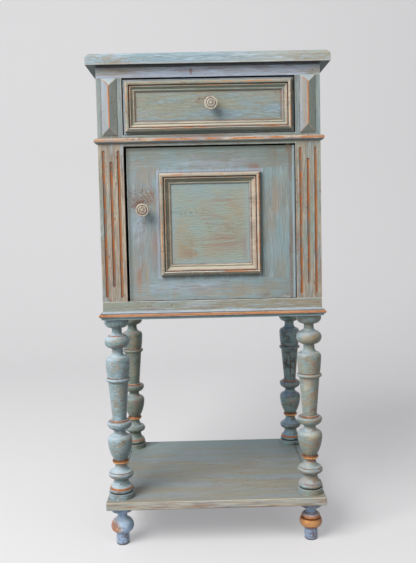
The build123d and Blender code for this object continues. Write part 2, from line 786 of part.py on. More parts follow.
def pivot_hinge(opening_level, gap, up):
    """Leaf with a pin let into the case, leaf with a hole let into the door, and the screws of both.

    Up is 1 for the hinge over the door and -1 for the one under it."""
    def layer(start, end):
        return tuple(sorted((opening_level + up * start, opening_level + up * end)))

    def leaf(z_range):
        return board((pivot_x - hinge_leaf_length + hinge_leaf_nose, pivot_x + hinge_leaf_nose),
                     (pivot_y - hinge_leaf_width / 2, pivot_y + hinge_leaf_width / 2), z_range)

    def shaft(diameter, z_range):
        low, high = z_range
        return Pos(pivot_x, pivot_y, (low + high) / 2) * Cylinder(diameter / 2, high - low)

    screw = countersunk_screw(hinge_screw_diameter, hinge_screw_head_diameter, hinge_screw_length)
    places = [pivot_x - hinge_screw_from_pin - number * hinge_screw_pitch for number in (0, 1)]
    door_level = opening_level - up * gap
    pointing_up = Rot(180, 0, 0)
    into_case, into_door = (pointing_up, Rot(0, 0, 0)) if up > 0 else (Rot(0, 0, 0), pointing_up)
    case_screws = [Pos(x, pivot_y, opening_level) * into_case * screw for x in places]
    door_screws = [Pos(x, pivot_y, door_level) * into_door * screw for x in places]

    pin_end = -gap - hinge_leaf_thickness - pivot_pin_reach
    case_recess = leaf(layer(0, hinge_leaf_thickness))
    pin = shaft(pivot_pin_diameter, layer(hinge_leaf_thickness, pin_end))
    case_leaf = case_recess + pin + shaft(pivot_collar_diameter, layer(0, pivot_collar_gap - gap))
    hole_diameter = pivot_pin_diameter + 2 * pivot_running_clearance
    door_blank = leaf(layer(-gap, -gap - hinge_leaf_thickness))
    hole = shaft(hole_diameter, layer(-gap, -gap - hinge_leaf_thickness))
    bore = shaft(pivot_pin_diameter + 2 * pivot_bore_play, layer(-gap, pin_end - pivot_bore_play))
    return {
        "case_leaf": case_leaf - case_screws,
        "case_screws": case_screws,
        "case_recess": case_recess,
        "door_leaf": door_blank - hole - door_screws,
        "door_screws": door_screws,
        "door_recess": door_blank + bore,
    }


def build_hinges_and_catch():
    """Exports the hinges and the catch, and returns both hinges for the pieces they are let into."""
    hinges = [
        pivot_hinge(door_opening_top, door_gap_top, 1),
        pivot_hinge(door_opening_bottom, door_gap_bottom, -1),
    ]
    export("hinge_case_leaves", *[hinge["case_leaf"] for hinge in hinges])
    export("hinge_case_screws", *[screw for hinge in hinges for screw in hinge["case_screws"]])
    export("hinge_door_leaves", *[hinge["door_leaf"] for hinge in hinges])
    export("hinge_door_screws", *[screw for hinge in hinges for screw in hinge["door_screws"]])

    catch_left = catch_from_opening - opening_half
    catch_top = drawer_opening_bottom - drawer_shelf_thickness
    catch_front = door_back_y + strike_thickness + catch_gap
    catch = board((catch_left, catch_left + catch_width), (catch_front, catch_front + catch_depth),
                  (catch_top - catch_height, catch_top))
    export("door_catch", chamfer(catch.edges().filter_by(Axis.X), catch_chamfer))
    strike_left = catch_left + (catch_width - strike_width) / 2
    strike_top = door_top - strike_from_top
    export("catch_strike", board((strike_left, strike_left + strike_width),
                                 (door_back_y, door_back_y + strike_thickness),
                                 (strike_top - strike_height, strike_top)))
    return hinges


# Knobs

def knob():
    """A turned knob with rings on its face, pointing to -Y from its seat at Y = 0."""
    turned = Turning(knob_foot_diameter)
    turned.line(knob_foot_diameter, knob_foot_height)
    turned.step(knob_neck_diameter, knob_neck_height)
    turned.arc_ending_upright(knob_diameter, knob_cup_height)
    turned.line(knob_diameter, knob_rim_height)
    turned.arc_starting_upright(knob_groove_diameter, knob_crown_height)
    turned.line(knob_groove_diameter, -knob_groove_depth)
    turned.line(knob_ring_diameter)
    turned.swell(knob_inner_groove_diameter, knob_ring_rise)
    turned.line(knob_inner_groove_diameter, -knob_groove_depth)
    turned.line(knob_button_diameter)
    turned.dome(knob_button_rise)
    bore_depth = knob_screw_grip + tenon_end_gap
    bore = Pos(0, 0, bore_depth / 2) * Cylinder(knob_screw_diameter / 2, bore_depth)
    return Rot(90, 0, 0) * (turned.solid() - bore)


def knob_screw(board_thickness):
    """A round-headed screw through a board of this thickness, from its back towards -Y, tip in the knob."""
    turned = Turning(knob_screw_head_diameter / 2)
    turned.swell(knob_screw_head_diameter, knob_screw_head_height)
    turned.line(knob_screw_diameter)
    turned.line(knob_screw_diameter, board_thickness + knob_screw_grip)
    return Pos(0, board_thickness + knob_screw_head_height, 0) * Rot(90, 0, 0) * turned.solid()


def knob_hole(board_thickness):
    hole = Cylinder(knob_screw_diameter / 2 + screw_hole_clearance, board_thickness)
    return Pos(0, board_thickness / 2, 0) * Rot(90, 0, 0) * hole


# Door

def build_door(hinges):
    panel_left = door_left + door_latch_stile_width
    panel_right = door_right - door_hinge_stile_width
    panel_low = door_bottom + door_bottom_rail_height
    panel_high = door_top - door_top_rail_height
    panel_front = door_recess + door_panel_recess
    panel_y = (panel_front, panel_front + door_panel_thickness)
    door_y = (door_recess, door_back_y)

    def panel_blank(reach):
        return board((panel_left - reach, panel_right + reach), panel_y,
                     (panel_low - reach, panel_high + reach))

    groove = panel_blank(door_groove_depth)
    export("door_panel", panel_blank(door_groove_depth - glue_gap))

    knob_place = Pos(door_left + door_knob_from_edge, door_recess, door_bottom + door_knob_rise)
    tenon_x = (panel_left - door_tenon_length, panel_right + door_tenon_length)
    low_tenon_z = (door_bottom + frame_tenon_shoulder, panel_low - door_groove_depth)
    high_tenon_z = (panel_high + door_groove_depth, door_top - frame_tenon_shoulder)
    rails = {
        "door_rail_bottom": ((door_bottom, panel_low), low_tenon_z),
        "door_rail_top": ((panel_high, door_top), high_tenon_z),
    }
    left = board((door_left, panel_left), door_y, (door_bottom, door_top)) - groove
    right = board((panel_right, door_right), door_y, (door_bottom, door_top))
    hinge_arris = right.edges().filter_by(Axis.Z).group_by(Axis.Y)[0].sort_by(Axis.X)[-1]
    right = fillet(hinge_arris, door_hinge_round) - groove
    for name, (rail_z, tenon_z) in rails.items():
        tenon = board(tenon_x, panel_y, tenon_z)
        export(name, board((panel_left, panel_right), door_y, rail_z) + tenon - groove)
        left -= tenon
        right -= tenon
    for hinge in hinges:
        right = right - hinge["door_recess"] - hinge["door_screws"]
    export("door_stile_hinge", right)
    export("door_stile_knob", left - knob_place * knob_hole(door_thickness))
    export("door_knob", knob_place * knob())
    export("door_knob_screw", knob_place * knob_screw(door_thickness))

    profile = panel_moulding_profile(door_moulding_width, door_panel_recess, door_moulding_lap)
    frame = mitred_frame(profile, panel_right - panel_left + 2 * door_moulding_lap,
                         panel_high - panel_low + 2 * door_moulding_lap)
    place = Pos((panel_left + panel_right) / 2, door_recess, (panel_low + panel_high) / 2)
    for side, piece in frame.items():
        export(f"door_moulding_{side}", place * piece)


# Drawer

def drawer_side():
    """Right side of the drawer, with the tails of the lapped dovetails at its front end."""
    x_range = (drawer_front_half - drawer_side_thickness, drawer_front_half)
    side = board(x_range, (drawer_front_inner_y, drawer_back_y), (drawer_side_bottom, drawer_side_top))
    outer_face = Plane(origin=(drawer_front_half, drawer_front_inner_y, 0), x_dir=(0, 1, 0), z_dir=(1, 0, 0))
    pitch = drawer_side_height / dovetail_count
    for number in range(dovetail_count):
        middle = drawer_side_bottom + pitch / 2 + number * pitch
        root = dovetail_root / 2
        tip = root + dovetail_flare
        tail = Polyline((0, middle - root), (0, middle + root), (-dovetail_length, middle + tip),
                        (-dovetail_length, middle - tip), close=True)
        side += extrude(outer_face * make_face(tail), -drawer_side_thickness)
    return side


def build_drawer():
    bottom_low = drawer_side_bottom + drawer_bottom_rise
    inner = drawer_front_half - drawer_side_thickness
    groove_half = inner + drawer_groove_depth
    bottom_z = (bottom_low, drawer_floor)
    groove_y = drawer_front_inner_y - drawer_groove_depth
    bottom_groove = board((-groove_half, groove_half), (groove_y, drawer_back_y), bottom_z)
    fitted_half = groove_half - glue_gap
    bottom_y = (groove_y + glue_gap, drawer_back_y)
    export("drawer_bottom", board((-fitted_half, fitted_half), bottom_y, bottom_z))
    side = drawer_side()
    knob_place = Pos(drawer_knob_offset, drawer_recess, drawer_middle_z + drawer_knob_rise)
    front = board((-drawer_front_half, drawer_front_half), (drawer_recess, drawer_front_inner_y),
                  (drawer_front_bottom, drawer_front_top))
    front = front - side - mirrored(side, -1) - bottom_groove - knob_place * knob_hole(drawer_front_thickness)
    side -= bottom_groove
    export("drawer_front", front)
    export("drawer_side_left", mirrored(side, -1))
    export("drawer_side_right", side)
    export("drawer_back", board((-inner, inner), (drawer_back_y - drawer_back_thickness, drawer_back_y),
                                (drawer_floor, drawer_side_top)))
    export("drawer_knob", knob_place * knob())
    export("drawer_knob_screw", knob_place * knob_screw(drawer_front_thickness))

    width = 2 * (drawer_front_half - drawer_moulding_margin)
    height = drawer_front_top - drawer_front_bottom - 2 * drawer_moulding_margin
    profile = panel_moulding_profile(drawer_moulding_width, 0, 0)
    for side_name, piece in mitred_frame(profile, width, height).items():
        export(f"drawer_moulding_{side_name}", Pos(0, drawer_recess, drawer_middle_z) * piece)


# The whole cabinet

os.makedirs("parts", exist_ok=True)
build_stand()
build_case()
build_mouldings()
door_hinges = build_hinges_and_catch()
build_face_frame([screw for hinge in door_hinges for screw in hinge["case_screws"]],
                 [hinge["case_recess"] for hinge in door_hinges])
build_door(door_hinges)
build_drawer()
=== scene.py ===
import bpy
import bmesh
import math
from mathutils import Matrix, Vector


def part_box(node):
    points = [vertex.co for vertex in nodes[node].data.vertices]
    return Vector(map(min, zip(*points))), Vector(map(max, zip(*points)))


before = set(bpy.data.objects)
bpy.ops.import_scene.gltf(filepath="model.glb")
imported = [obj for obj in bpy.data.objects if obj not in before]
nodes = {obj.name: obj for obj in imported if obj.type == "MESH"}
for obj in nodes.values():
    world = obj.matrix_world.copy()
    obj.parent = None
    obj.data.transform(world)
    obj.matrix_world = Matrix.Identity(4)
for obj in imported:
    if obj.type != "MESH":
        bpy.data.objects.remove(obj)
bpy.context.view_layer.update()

# Small tools for building node trees


def hexColour(code):
    parts = [int(code[i:i + 2], 16) / 255 for i in (0, 2, 4)]
    linear = [c / 12.92 if c <= 0.04045 else ((c + 0.055) / 1.055) ** 2.4 for c in parts]
    return (*linear, 1.0)


def join(tree, value, socket):
    if isinstance(value, Field):
        tree.links.new(value.socket, socket)
    else:
        socket.default_value = value


def addNode(tree, kind, values=None, **settings):
    node = tree.nodes.new("ShaderNode" + kind)
    for name, setting in settings.items():
        setattr(node, name, setting)
    for name, value in (values or {}).items():
        join(tree, value, node.inputs[name])
    return node


def operate(tree, kind, operation, values, output):
    # a maths node of either kind, whose inputs take the values in order
    node = addNode(tree, kind, operation=operation)
    for value, socket in zip(values, node.inputs):
        join(tree, value, socket)
    return Field(tree, node.outputs[output])


class Field:
    # something that varies over a surface; arithmetic on it adds nodes to its tree
    def __init__(self, tree, socket):
        self.tree, self.socket = tree, socket

    def maths(self, operation, *others):
        return operate(self.tree, "Math", operation, (self, *others), "Value")

    def __add__(self, other):
        return self.maths("ADD", other)

    def __sub__(self, other):
        return self.maths("SUBTRACT", other)

    def __rsub__(self, other):
        return operate(self.tree, "Math", "SUBTRACT", (other, self), "Value")

    def __mul__(self, other):
        return self.maths("MULTIPLY", other)

    def __abs__(self):
        return self.maths("ABSOLUTE")

    def most(self, other):
        return self.maths("MAXIMUM", other)

    def vector(self, operation, *others):
        output = "Value" if operation in ("LENGTH", "DOT_PRODUCT") else "Vector"
        return operate(self.tree, "VectorMath", operation, (self, *others), output)

    def split(self):
        outputs = addNode(self.tree, "SeparateXYZ", {"Vector": self}).outputs
        return [Field(self.tree, socket) for socket in outputs]

    def ramp(self, start, end, low=0.0, high=1.0):
        # a smooth step from low to high
        values = {"Value": self, "From Min": start, "From Max": end, "To Min": low, "To Max": high}
        node = addNode(self.tree, "MapRange", values, interpolation_type="SMOOTHSTEP")
        return Field(self.tree, node.outputs[0])

    def past(self, level, start, end, low=0.0, high=1.0):
        # the same between two distances from a level
        return self.ramp(level + start, level + end, low, high)

    def noise(self, scale=1.0, detail=3.0, roughness=0.55, distortion=0.0):
        values = {"Vector": self, "Scale": scale, "Detail": detail, "Roughness": roughness,
                  "Distortion": distortion}
        return Field(self.tree, addNode(self.tree, "TexNoise", values).outputs[0])


def mixColour(tree, amount, first, second, mode="MIX"):
    node = addNode(tree, "Mix", data_type="RGBA", blend_type=mode)
    for value, socket in ((amount, node.inputs[0]), (first, node.inputs[6]), (second, node.inputs[7])):
        join(tree, value, socket)
    return Field(tree, node.outputs[2])


def newGroup(name, inputs, outputs):
    # inputs by name: a number, a vector or a colour as the starting value
    tree = bpy.data.node_groups.new(name, "ShaderNodeTree")
    for label, value in inputs.items():
        kind = {1: "Float", 3: "Vector", 4: "Color"}[len(value) if isinstance(value, tuple) else 1]
        socket = tree.interface.new_socket(name=label, in_out="INPUT", socket_type="NodeSocket" + kind)
        socket.default_value = value
    for label, kind in outputs.items():
        tree.interface.new_socket(name=label, in_out="OUTPUT", socket_type="NodeSocket" + kind)
    inside = {socket.name: Field(tree, socket) for socket in tree.nodes.new("NodeGroupInput").outputs}
    return tree, inside, tree.nodes.new("NodeGroupOutput").inputs


def useGroup(tree, group, values):
    node = addNode(tree, "Group", values, node_tree=group)
    return {socket.name: Field(tree, socket) for socket in node.outputs}


def newMaterial(name):
    material = bpy.data.materials.new(name)
    material.use_nodes = True
    material.node_tree.nodes.clear()
    return material, material.node_tree


def coordinate(tree, name):
    return Field(tree, addNode(tree, "TexCoord").outputs[name])


def finishSurface(tree, values, height, distance, strength):
    # the shader, its bump and the output
    shader = addNode(tree, "BsdfPrincipled", values)
    bump = addNode(tree, "Bump", {"Height": height, "Distance": distance, "Strength": strength})
    tree.links.new(bump.outputs[0], shader.inputs["Normal"])
    tree.links.new(shader.outputs[0], addNode(tree, "OutputMaterial").inputs[0])


# Effects that the materials share

anywhere = (0.0, 0.0, 0.0)


def makeBrushedPaint():
    # thin coats dragged along the grain, with the older coats and the wood showing through
    values = {"underSoftness": 0.24, "glazeSoftness": 0.12, "glazeShare": 0.62, "drySoftness": 0.12,
              "dryShare": 0.55, "toneMiddle": 0.58, "toneSwing": 0.24, "rubSoftness": 0.07,
              "speckSoftness": 0.035, "bareShare": 0.8, "dryRelief": 0.4, "rubRelief": 0.6}
    tree, inside, out = newGroup("brushedPaint", {
        "Position": anywhere, "Grain": (12.0, 240.0, 240.0), "Cloud": (6.0, 25.0, 25.0),
        "Paint": (0.3, 0.5, 0.6, 1.0), "Undercoat": (0.3, 0.4, 0.3, 1.0), "Glaze": (0.4, 0.3, 0.2, 1.0),
        "Dry Brush": (0.6, 0.7, 0.8, 1.0), "Bare": (0.3, 0.1, 0.05, 1.0), "Undercoat Amount": 0.5,
        "Glaze Amount": 0.4, "Dry Brush Amount": 0.4, "Rub Amount": 0.2, "Speck Amount": 0.2, "Contrast": 1.0,
    }, {"Color": "Color", "Height": "Float"})
    position, contrast = inside["Position"], inside["Contrast"]
    along = position.vector("MULTIPLY", inside["Grain"])
    clouds = position.vector("MULTIPLY", inside["Cloud"])
    layers = (  # coordinate, scale, offset, detail, roughness, spread and distortion
        (clouds, 1.0, (0.0, 0.0, 0.0), 3.0, 0.60, 0.20, 0.6),
        (along, 1.1, (3.7, 9.2, 5.1), 3.0, 0.60, 0.22, 0.2),
        (along, 2.1, (31.0, 17.0, 53.0), 4.0, 0.65, 0.20, 0.2),
        (along, 4.5, (12.0, 64.0, 27.0), 3.0, 0.60, 0.20, 0.2),
        (clouds, 1.6, (8.3, 2.9, 6.6), 3.0, 0.60, 0.20, 0.8),
        (position, 330.0, (0.1, 0.4, 0.2), 2.0, 0.50, 0.17, 0.6),
        (clouds, 2.1, (1.3, 7.7, 4.9), 2.0, 0.50, 0.19, 0.2),
    )

    def stretched(place, scale, offset, detail, roughness, spread, distortion):
        # noise that fills 0 to 1
        moved = place.vector("ADD", offset)
        return moved.noise(scale, detail, roughness, distortion).ramp(0.5 - spread, 0.5 + spread)

    def cover(wish, amount, softness):
        # the share of the surface given by amount, with a soft edge
        return (wish - (1.0 - inside[amount])).ramp(-softness, softness)

    def blend(first, second, share):
        return first * share + second * (1.0 - share)

    cloud, stroke, fineStroke, bristle, patches, dots, worn = (stretched(*layer) for layer in layers)
    under = cover(blend(cloud, stroke, 0.6), "Undercoat Amount", values["underSoftness"])
    colour = mixColour(tree, under, inside["Paint"], inside["Undercoat"])
    glaze = cover(blend(fineStroke, patches, 0.55), "Glaze Amount", values["glazeSoftness"])
    colour = mixColour(tree, glaze * values["glazeShare"] * contrast, colour, inside["Glaze"])
    dryWish = blend(blend(bristle, fineStroke, 0.5), 1.0 - patches, 0.62)
    dryBrush = cover(dryWish, "Dry Brush Amount", values["drySoftness"]) * contrast
    colour = mixColour(tree, dryBrush * values["dryShare"], colour, inside["Dry Brush"])
    tone = (bristle - values["toneMiddle"]) * values["toneSwing"] * contrast + 1.0
    grey = Field(tree, addNode(tree, "CombineColor", {"Red": tone, "Green": tone, "Blue": tone}).outputs[0])
    colour = mixColour(tree, 1.0, colour, grey, "MULTIPLY")
    rub = cover(blend(fineStroke, worn, 0.5), "Rub Amount", values["rubSoftness"])
    rub = rub.most(cover(blend(dots, worn, 0.72), "Speck Amount", values["speckSoftness"]))
    join(tree, mixColour(tree, rub * values["bareShare"], colour, inside["Bare"]), out["Color"])
    relief = blend(bristle, fineStroke, 0.55) + dryBrush * values["dryRelief"]
    join(tree, relief - rub * values["rubRelief"], out["Height"])
    return tree


def makeWornEdges():
    # finds the arrises and breaks them up as a hand does with fine paper
    inputs = {"Position": anywhere, "Width": 0.0012, "Amount": 0.6}
    tree, inside, out = newGroup("wornEdges", inputs, {"Edge": "Float"})
    rounded = Field(tree, addNode(tree, "Bevel", {"Radius": inside["Width"]}, samples=6).outputs[0])
    true = Field(tree, addNode(tree, "NewGeometry").outputs["Normal"])
    arris = (1.0 - rounded.vector("DOT_PRODUCT", true)).ramp(0.015, 0.16)
    chatter = inside["Position"].noise(95.0, 4.0, 0.65)
    kept = (chatter - (0.8 - inside["Amount"] * 0.6)).ramp(-0.08, 0.1)
    join(tree, arris * kept, out["Edge"])
    return tree


def makeCrevices(name, onlyOwn):
    # dark wax and dust in the quirks, corners and the foot of each moulding, together with painted shade
    # there, both found by occlusion
    inputs = {"Position": anywhere, "Reach": 0.006, "Amount": 0.6}
    tree, inside, out = newGroup(name, inputs, {"Groove": "Float"})
    settings = {"samples": 8, "only_local": onlyOwn}
    occlusion = addNode(tree, "AmbientOcclusion", {"Distance": inside["Reach"]}, **settings)
    grain = inside["Position"].noise(120.0, 3.0, 0.6)
    depth = 1.0 - Field(tree, occlusion.outputs["AO"])
    broken = depth + (grain - 0.5) * 0.35
    join(tree, broken.ramp(0.22, 0.8) * inside["Amount"], out["Groove"])
    return tree


def makeCopperWax():
    # copper wax wiped over a raised line, so it skips and thins out
    inputs = {"Position": anywhere, "Line": 0.0, "Cover": 0.7, "Scale": 60.0}
    tree, inside, out = newGroup("copperWax", inputs, {"Wax": "Float"})
    skips = inside["Position"].noise(inside["Scale"], 4.0, 0.6, 0.4)
    kept = (skips - (0.72 - inside["Cover"] * 0.5)).ramp(-0.1, 0.14)
    join(tree, inside["Line"] * kept, out["Wax"])
    return tree


def makeSoftLine():
    # a soft line of a given width along one level of a value
    inputs = {"Value": 0.0, "Middle": 0.0, "Width": 0.002}
    tree, inside, out = newGroup("softLine", inputs, {"Line": "Float"})
    share = abs(inside["Value"] - inside["Middle"]).maths("DIVIDE", inside["Width"] * 0.5)
    join(tree, share.ramp(1.25, 0.55), out["Line"])
    return tree


def makeFrameDistance():
    # how far a point of a mitred frame lies inside the frame's outer edge
    inputs = {"Position": anywhere, "Centre": anywhere, "Half Size": (0.1, 0.0, 0.1)}
    tree, inside, out = newGroup("frameDistance", inputs, {"Distance": "Float"})
    away = inside["Position"].vector("SUBTRACT", inside["Centre"]).vector("ABSOLUTE")
    across, _, up = inside["Half Size"].vector("SUBTRACT", away).split()
    join(tree, across.maths("MINIMUM", up), out["Distance"])
    return tree


brushedPaint = makeBrushedPaint()
wornEdges = makeWornEdges()
crevices = makeCrevices("crevices", False)
ownCrevices = makeCrevices("ownCrevices", True)
copperWax = makeCopperWax()
softLine = makeSoftLine()
frameDistance = makeFrameDistance()
print("shared effects built")

# Colours of the coats

coats = {name: hexColour(code) for name, code in {
    "blue": "90a8b2", "paleBlue": "b3c8d6", "brightBlue": "c9dbe8", "doorBlue": "879da3", "teal": "829da0",
    "panelTeal": "8a9f9c", "darkTeal": "3c5454", "cornflower": "8cabcf", "paleCornflower": "a9c2e2",
    "lilac": "aab4c8", "lilacGrey": "949ba1", "doorGrey": "868c8b", "mossGrey": "6f7d72", "sage": "949d90",
    "olive": "64695a", "darkOlive": "43483c", "streakOlive": "857c62", "fadedTan": "9c927c", "tan": "a08a6c",
    "taupe": "97897a", "mauve": "9c9598", "pink": "ae9a90", "cream": "cfc0aa", "ivory": "c9c2b0",
    "chalk": "dfe2e0", "rust": "8b583f", "rustBrown": "6f4a38", "rustPink": "927068", "brown": "59402f",
    # wax: dark wax in quirks and corners, and the painted shade there too
    "copper": "c98656", "flameCopper": "bd7341", "bronze": "cb8244", "paleGold": "efc08a", "wax": "35332b",
    "shadeBlack": "131517",
}.items()}

# How finely the strokes repeat along each axis

alongX = (11.0, 250.0, 250.0)
alongZ = (250.0, 250.0, 11.0)
everyWay = (120.0, 120.0, 120.0)


# The look that each piece starts from

plainLook = {
    "paint": "blue", "undercoat": "sage", "glaze": "taupe", "dryBrush": "paleBlue", "bare": "rust",
    "grain": alongX, "crossGrain": None, "cloud": None, "seed": (0.0, 0.0, 0.0), "contrast": 1.0,
    "undercoatAmount": 0.5, "glazeAmount": 0.36, "dryBrushAmount": 0.36, "rubAmount": 0.1,
    "speckAmount": 0.12, "edgeColour": "chalk", "edgeWidth": 0.0012, "edgeAmount": 0.75,
    "edgeStrength": 0.7, "grooveWaxAndShadeColour": "wax", "grooveReach": 0.006, "grooveAmount": 0.8,
    "ownGrooves": False, "roughness": 0.5, "bump": 0.0009,
}


class PaintJob:
    # one material while it is being built: its colour, height and copper so far
    def __init__(self, name, **changes):
        self.look = {**plainLook, **changes}
        self.material, self.tree = newMaterial(name)
        self.position = coordinate(self.tree, "Object")
        self.x, self.y, self.z = self.position.split()
        self.place = self.position.vector("ADD", self.look["seed"])
        self.facingX, _, self.facingZ = coordinate(self.tree, "Normal").split()
        self.speckAmount = self.look["speckAmount"]
        self.openEdges = 1.0
        self.shelter = 0.0
        self.wax = None

    def coat(self, grain, seed):
        look = self.look
        return useGroup(self.tree, brushedPaint, {
            "Position": self.place.vector("ADD", seed), "Grain": grain,
            "Cloud": look["cloud"] or tuple(step ** 0.5 * 1.6 for step in grain),
            "Paint": coats[look["paint"]], "Undercoat": coats[look["undercoat"]],
            "Glaze": coats[look["glaze"]], "Dry Brush": coats[look["dryBrush"]], "Bare": coats[look["bare"]],
            "Undercoat Amount": look["undercoatAmount"], "Glaze Amount": look["glazeAmount"],
            "Dry Brush Amount": look["dryBrushAmount"], "Rub Amount": look["rubAmount"],
            "Speck Amount": self.speckAmount, "Contrast": look["contrast"],
        })

    def brush(self, across=0.5):
        # where a cross grain is given, across says how much of the surface has it
        first = self.coat(self.look["grain"], (0.0, 0.0, 0.0))
        self.colour, self.height = first["Color"], first["Height"]
        if self.look["crossGrain"]:
            second = self.coat(self.look["crossGrain"], (0.4, 0.0, 0.7))
            turned = (self.place.noise(14.0, 3.0, 0.6) + across).ramp(0.86, 1.14)
            self.colour = mixColour(self.tree, turned, self.colour, second["Color"])
            self.height = first["Height"] + (second["Height"] - first["Height"]) * turned

    def near(self, centre, radii):
        # 1 at the centre, fading to 0 at the given distances along each axis
        away = self.position.vector("SUBTRACT", centre).vector("DIVIDE", radii)
        return away.vector("LENGTH").ramp(1.0, 0.1)

    def sprinkle(self, centre, radii, specks):
        # more specks round a place
        self.speckAmount = self.near(centre, radii) * specks + self.speckAmount

    def streaks(self, grain, detail=3.0, roughness=0.55):
        return self.place.vector("MULTIPLY", grain).noise(1.0, detail, roughness)

    def tint(self, mask, coat, strength=1.0):
        self.colour = mixColour(self.tree, mask * strength, self.colour, coats[coat])

    def scuff(self, origin, marks):
        # marks dragged along a grain, each with its place from the origin, its reach to the side and up,
        # its grain, coat and strength, and how much of the place it takes
        for side, up, reachSide, reachUp, grain, coat, strength, share in marks:
            scratches = self.streaks(grain, roughness=0.6).ramp(0.56 - share * 0.2, 0.68 - share * 0.2)
            place = self.near((origin[0] + side, 0.0, origin[1] + up), (reachSide, 1.0, reachUp))
            self.tint(scratches * place, coat, strength)

    def band(self, value, start, end, coat, strength):
        # one colour between two levels of a value
        softness = 0.0003
        entering = value.ramp(start - softness, start + softness)
        leaving = value.ramp(end + softness, end - softness)
        self.tint(entering * leaving, coat, strength)

    def paintGapShade(self, frontY, limits=1.0):
        # painted shade, near black, on the faces that look into a narrow gap, a little way in behind the
        # front arris
        values = {"turned": (0.55, 0.85), "start": (0.0004, 0.0012), "end": (0.013, 0.005),
                  "caseInset": (-0.001, -0.003)}
        turned = abs(self.facingX).most(abs(self.facingZ)).ramp(*values["turned"])
        behind = self.y.past(frontY, *values["start"]) * self.y.past(frontY, *values["end"])
        inCase = abs(self.x).past(caseHigh.x, *values["caseInset"])
        self.tint(turned * behind * inCase * limits, "shadeBlack", 0.94)

    def line(self, value, middle, width):
        return useGroup(self.tree, softLine, {"Value": value, "Middle": middle, "Width": width})["Line"]

    def inward(self, low, high):
        # distance in from the edge of an upright rectangle
        return useGroup(self.tree, frameDistance, {
            "Position": self.position, "Centre": (low + high) / 2, "Half Size": (high - low) / 2})["Distance"]

    def copper(self, mask, cover, scale, coat="copper"):
        # copper wax wiped over the mask
        wax = useGroup(self.tree, copperWax, {
            "Position": self.place, "Line": mask, "Cover": cover, "Scale": scale})["Wax"]
        self.colour = mixColour(self.tree, wax, self.colour, coats[coat])
        self.wax = wax if self.wax is None else self.wax.most(wax)

    def finish(self, metal=0.3, gloss=0.36):
        # dark wax and painted shade in the quirks, worn arrises and the surface itself
        tree, look = self.tree, self.look
        groove = useGroup(tree, ownCrevices if look["ownGrooves"] else crevices, {
            "Position": self.place, "Reach": look["grooveReach"], "Amount": look["grooveAmount"]})["Groove"]
        groove = groove * (1.0 - self.shelter)
        self.tint(groove, look["grooveWaxAndShadeColour"])
        edge = useGroup(tree, wornEdges, {
            "Position": self.place, "Width": look["edgeWidth"], "Amount": look["edgeAmount"]})["Edge"]
        edge = edge * (1.0 - groove) * self.openEdges
        values = {"Roughness": look["roughness"], "Specular IOR Level": 0.45}
        if self.wax is not None:
            edge = edge * (1.0 - self.wax)
            values["Metallic"] = self.wax * metal
            values["Roughness"] = self.wax.ramp(0.0, 1.0, look["roughness"], gloss)
        self.tint(edge, look["edgeColour"], look["edgeStrength"])
        values["Base Color"] = self.colour
        finishSurface(tree, values, self.height, look["bump"], 0.8)
        return self.material


def startJob(name, **changes):
    job = PaintJob(name, **changes)
    job.brush()
    return job


def dress(material, *names):
    for name in names:
        mesh = nodes[name].data
        mesh.materials.clear()
        mesh.materials.append(material)


def softenArrises(width, *names):
    # a fine round on the arrises of flat work, so they catch the light
    for name in names:
        weld = nodes[name].modifiers.new("weld", "WELD")
        weld.merge_threshold = 0.00001
        bevel = nodes[name].modifiers.new("arris", "BEVEL")
        bevel.width = width
        bevel.segments = 2
        bevel.limit_method = "ANGLE"
        bevel.angle_limit = math.radians(40)
        bevel.harden_normals = False


# Levels and places read from the frame

def outline(first, last):
    # lowest corner of one node and highest of another
    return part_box(first)[0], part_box(last)[1]


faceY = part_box("face_stile_left")[0].y
caseLow, caseHigh = outline("bottom_rail", "top_rail")
doorLow, doorHigh = outline("door_stile_knob", "door_stile_hinge")


# Top board

def paintTop():
    values = {
        "creamEnd": (-0.05, 0.20), "lowerArris": (0.0030, 0.0008), "underside": (0.0007, 0.0003),
        "overCase": (0.002, -0.002), "inset": 0.03, "grain": (60.0, 60.0, 200.0),
    }
    job = startJob("topPaint", paint="paleBlue", undercoat="blue", glaze="sage", dryBrush="brightBlue",
                   bare="taupe", glazeAmount=0.46, rubAmount=0.08, speckAmount=0.06, undercoatAmount=0.64,
                   edgeAmount=1.0, edgeStrength=0.9, edgeWidth=0.0018, grooveReach=0.012)
    low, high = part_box("top_board")
    job.tint(job.x.ramp(*values["creamEnd"]), "cream", 0.28)
    job.scuff((low.x, low.z), [(values["inset"], 0.0, 0.07, 0.05, values["grain"], "tan", 0.6, 0.6)])
    job.scuff((high.x, low.z), [(-values["inset"], 0.0, 0.09, 0.05, values["grain"], "tan", 0.5, 0.5)])
    job.tint(job.z.past(low.z, *values["lowerArris"]), "cream", 0.5)
    # painted shade on the underside, near black where it overhangs the case
    under = job.z.past(low.z, *values["underside"])
    job.tint(under, "darkTeal", 0.9)
    job.tint(under * abs(job.x).past(caseHigh.x, *values["overCase"]), "shadeBlack", 0.8)
    dress(job.finish(), "top_board")


# Rails, stiles and blocks of the face frame

def frameEdges(job):
    # keeps worn arrises off the flush joints: only round the case and the two openings
    values = {"outer": (0.004, 0.002), "door": (0.007, 0.004), "drawer": (0.006, 0.004)}
    outer = job.inward(caseLow, caseHigh).ramp(*values["outer"])
    doorHole = abs(job.inward(doorLow, doorHigh)).ramp(*values["door"])
    drawerHole = abs(job.inward(*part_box("drawer_front"))).ramp(*values["drawer"])
    job.openEdges = outer.most(doorHole.most(drawerHole))


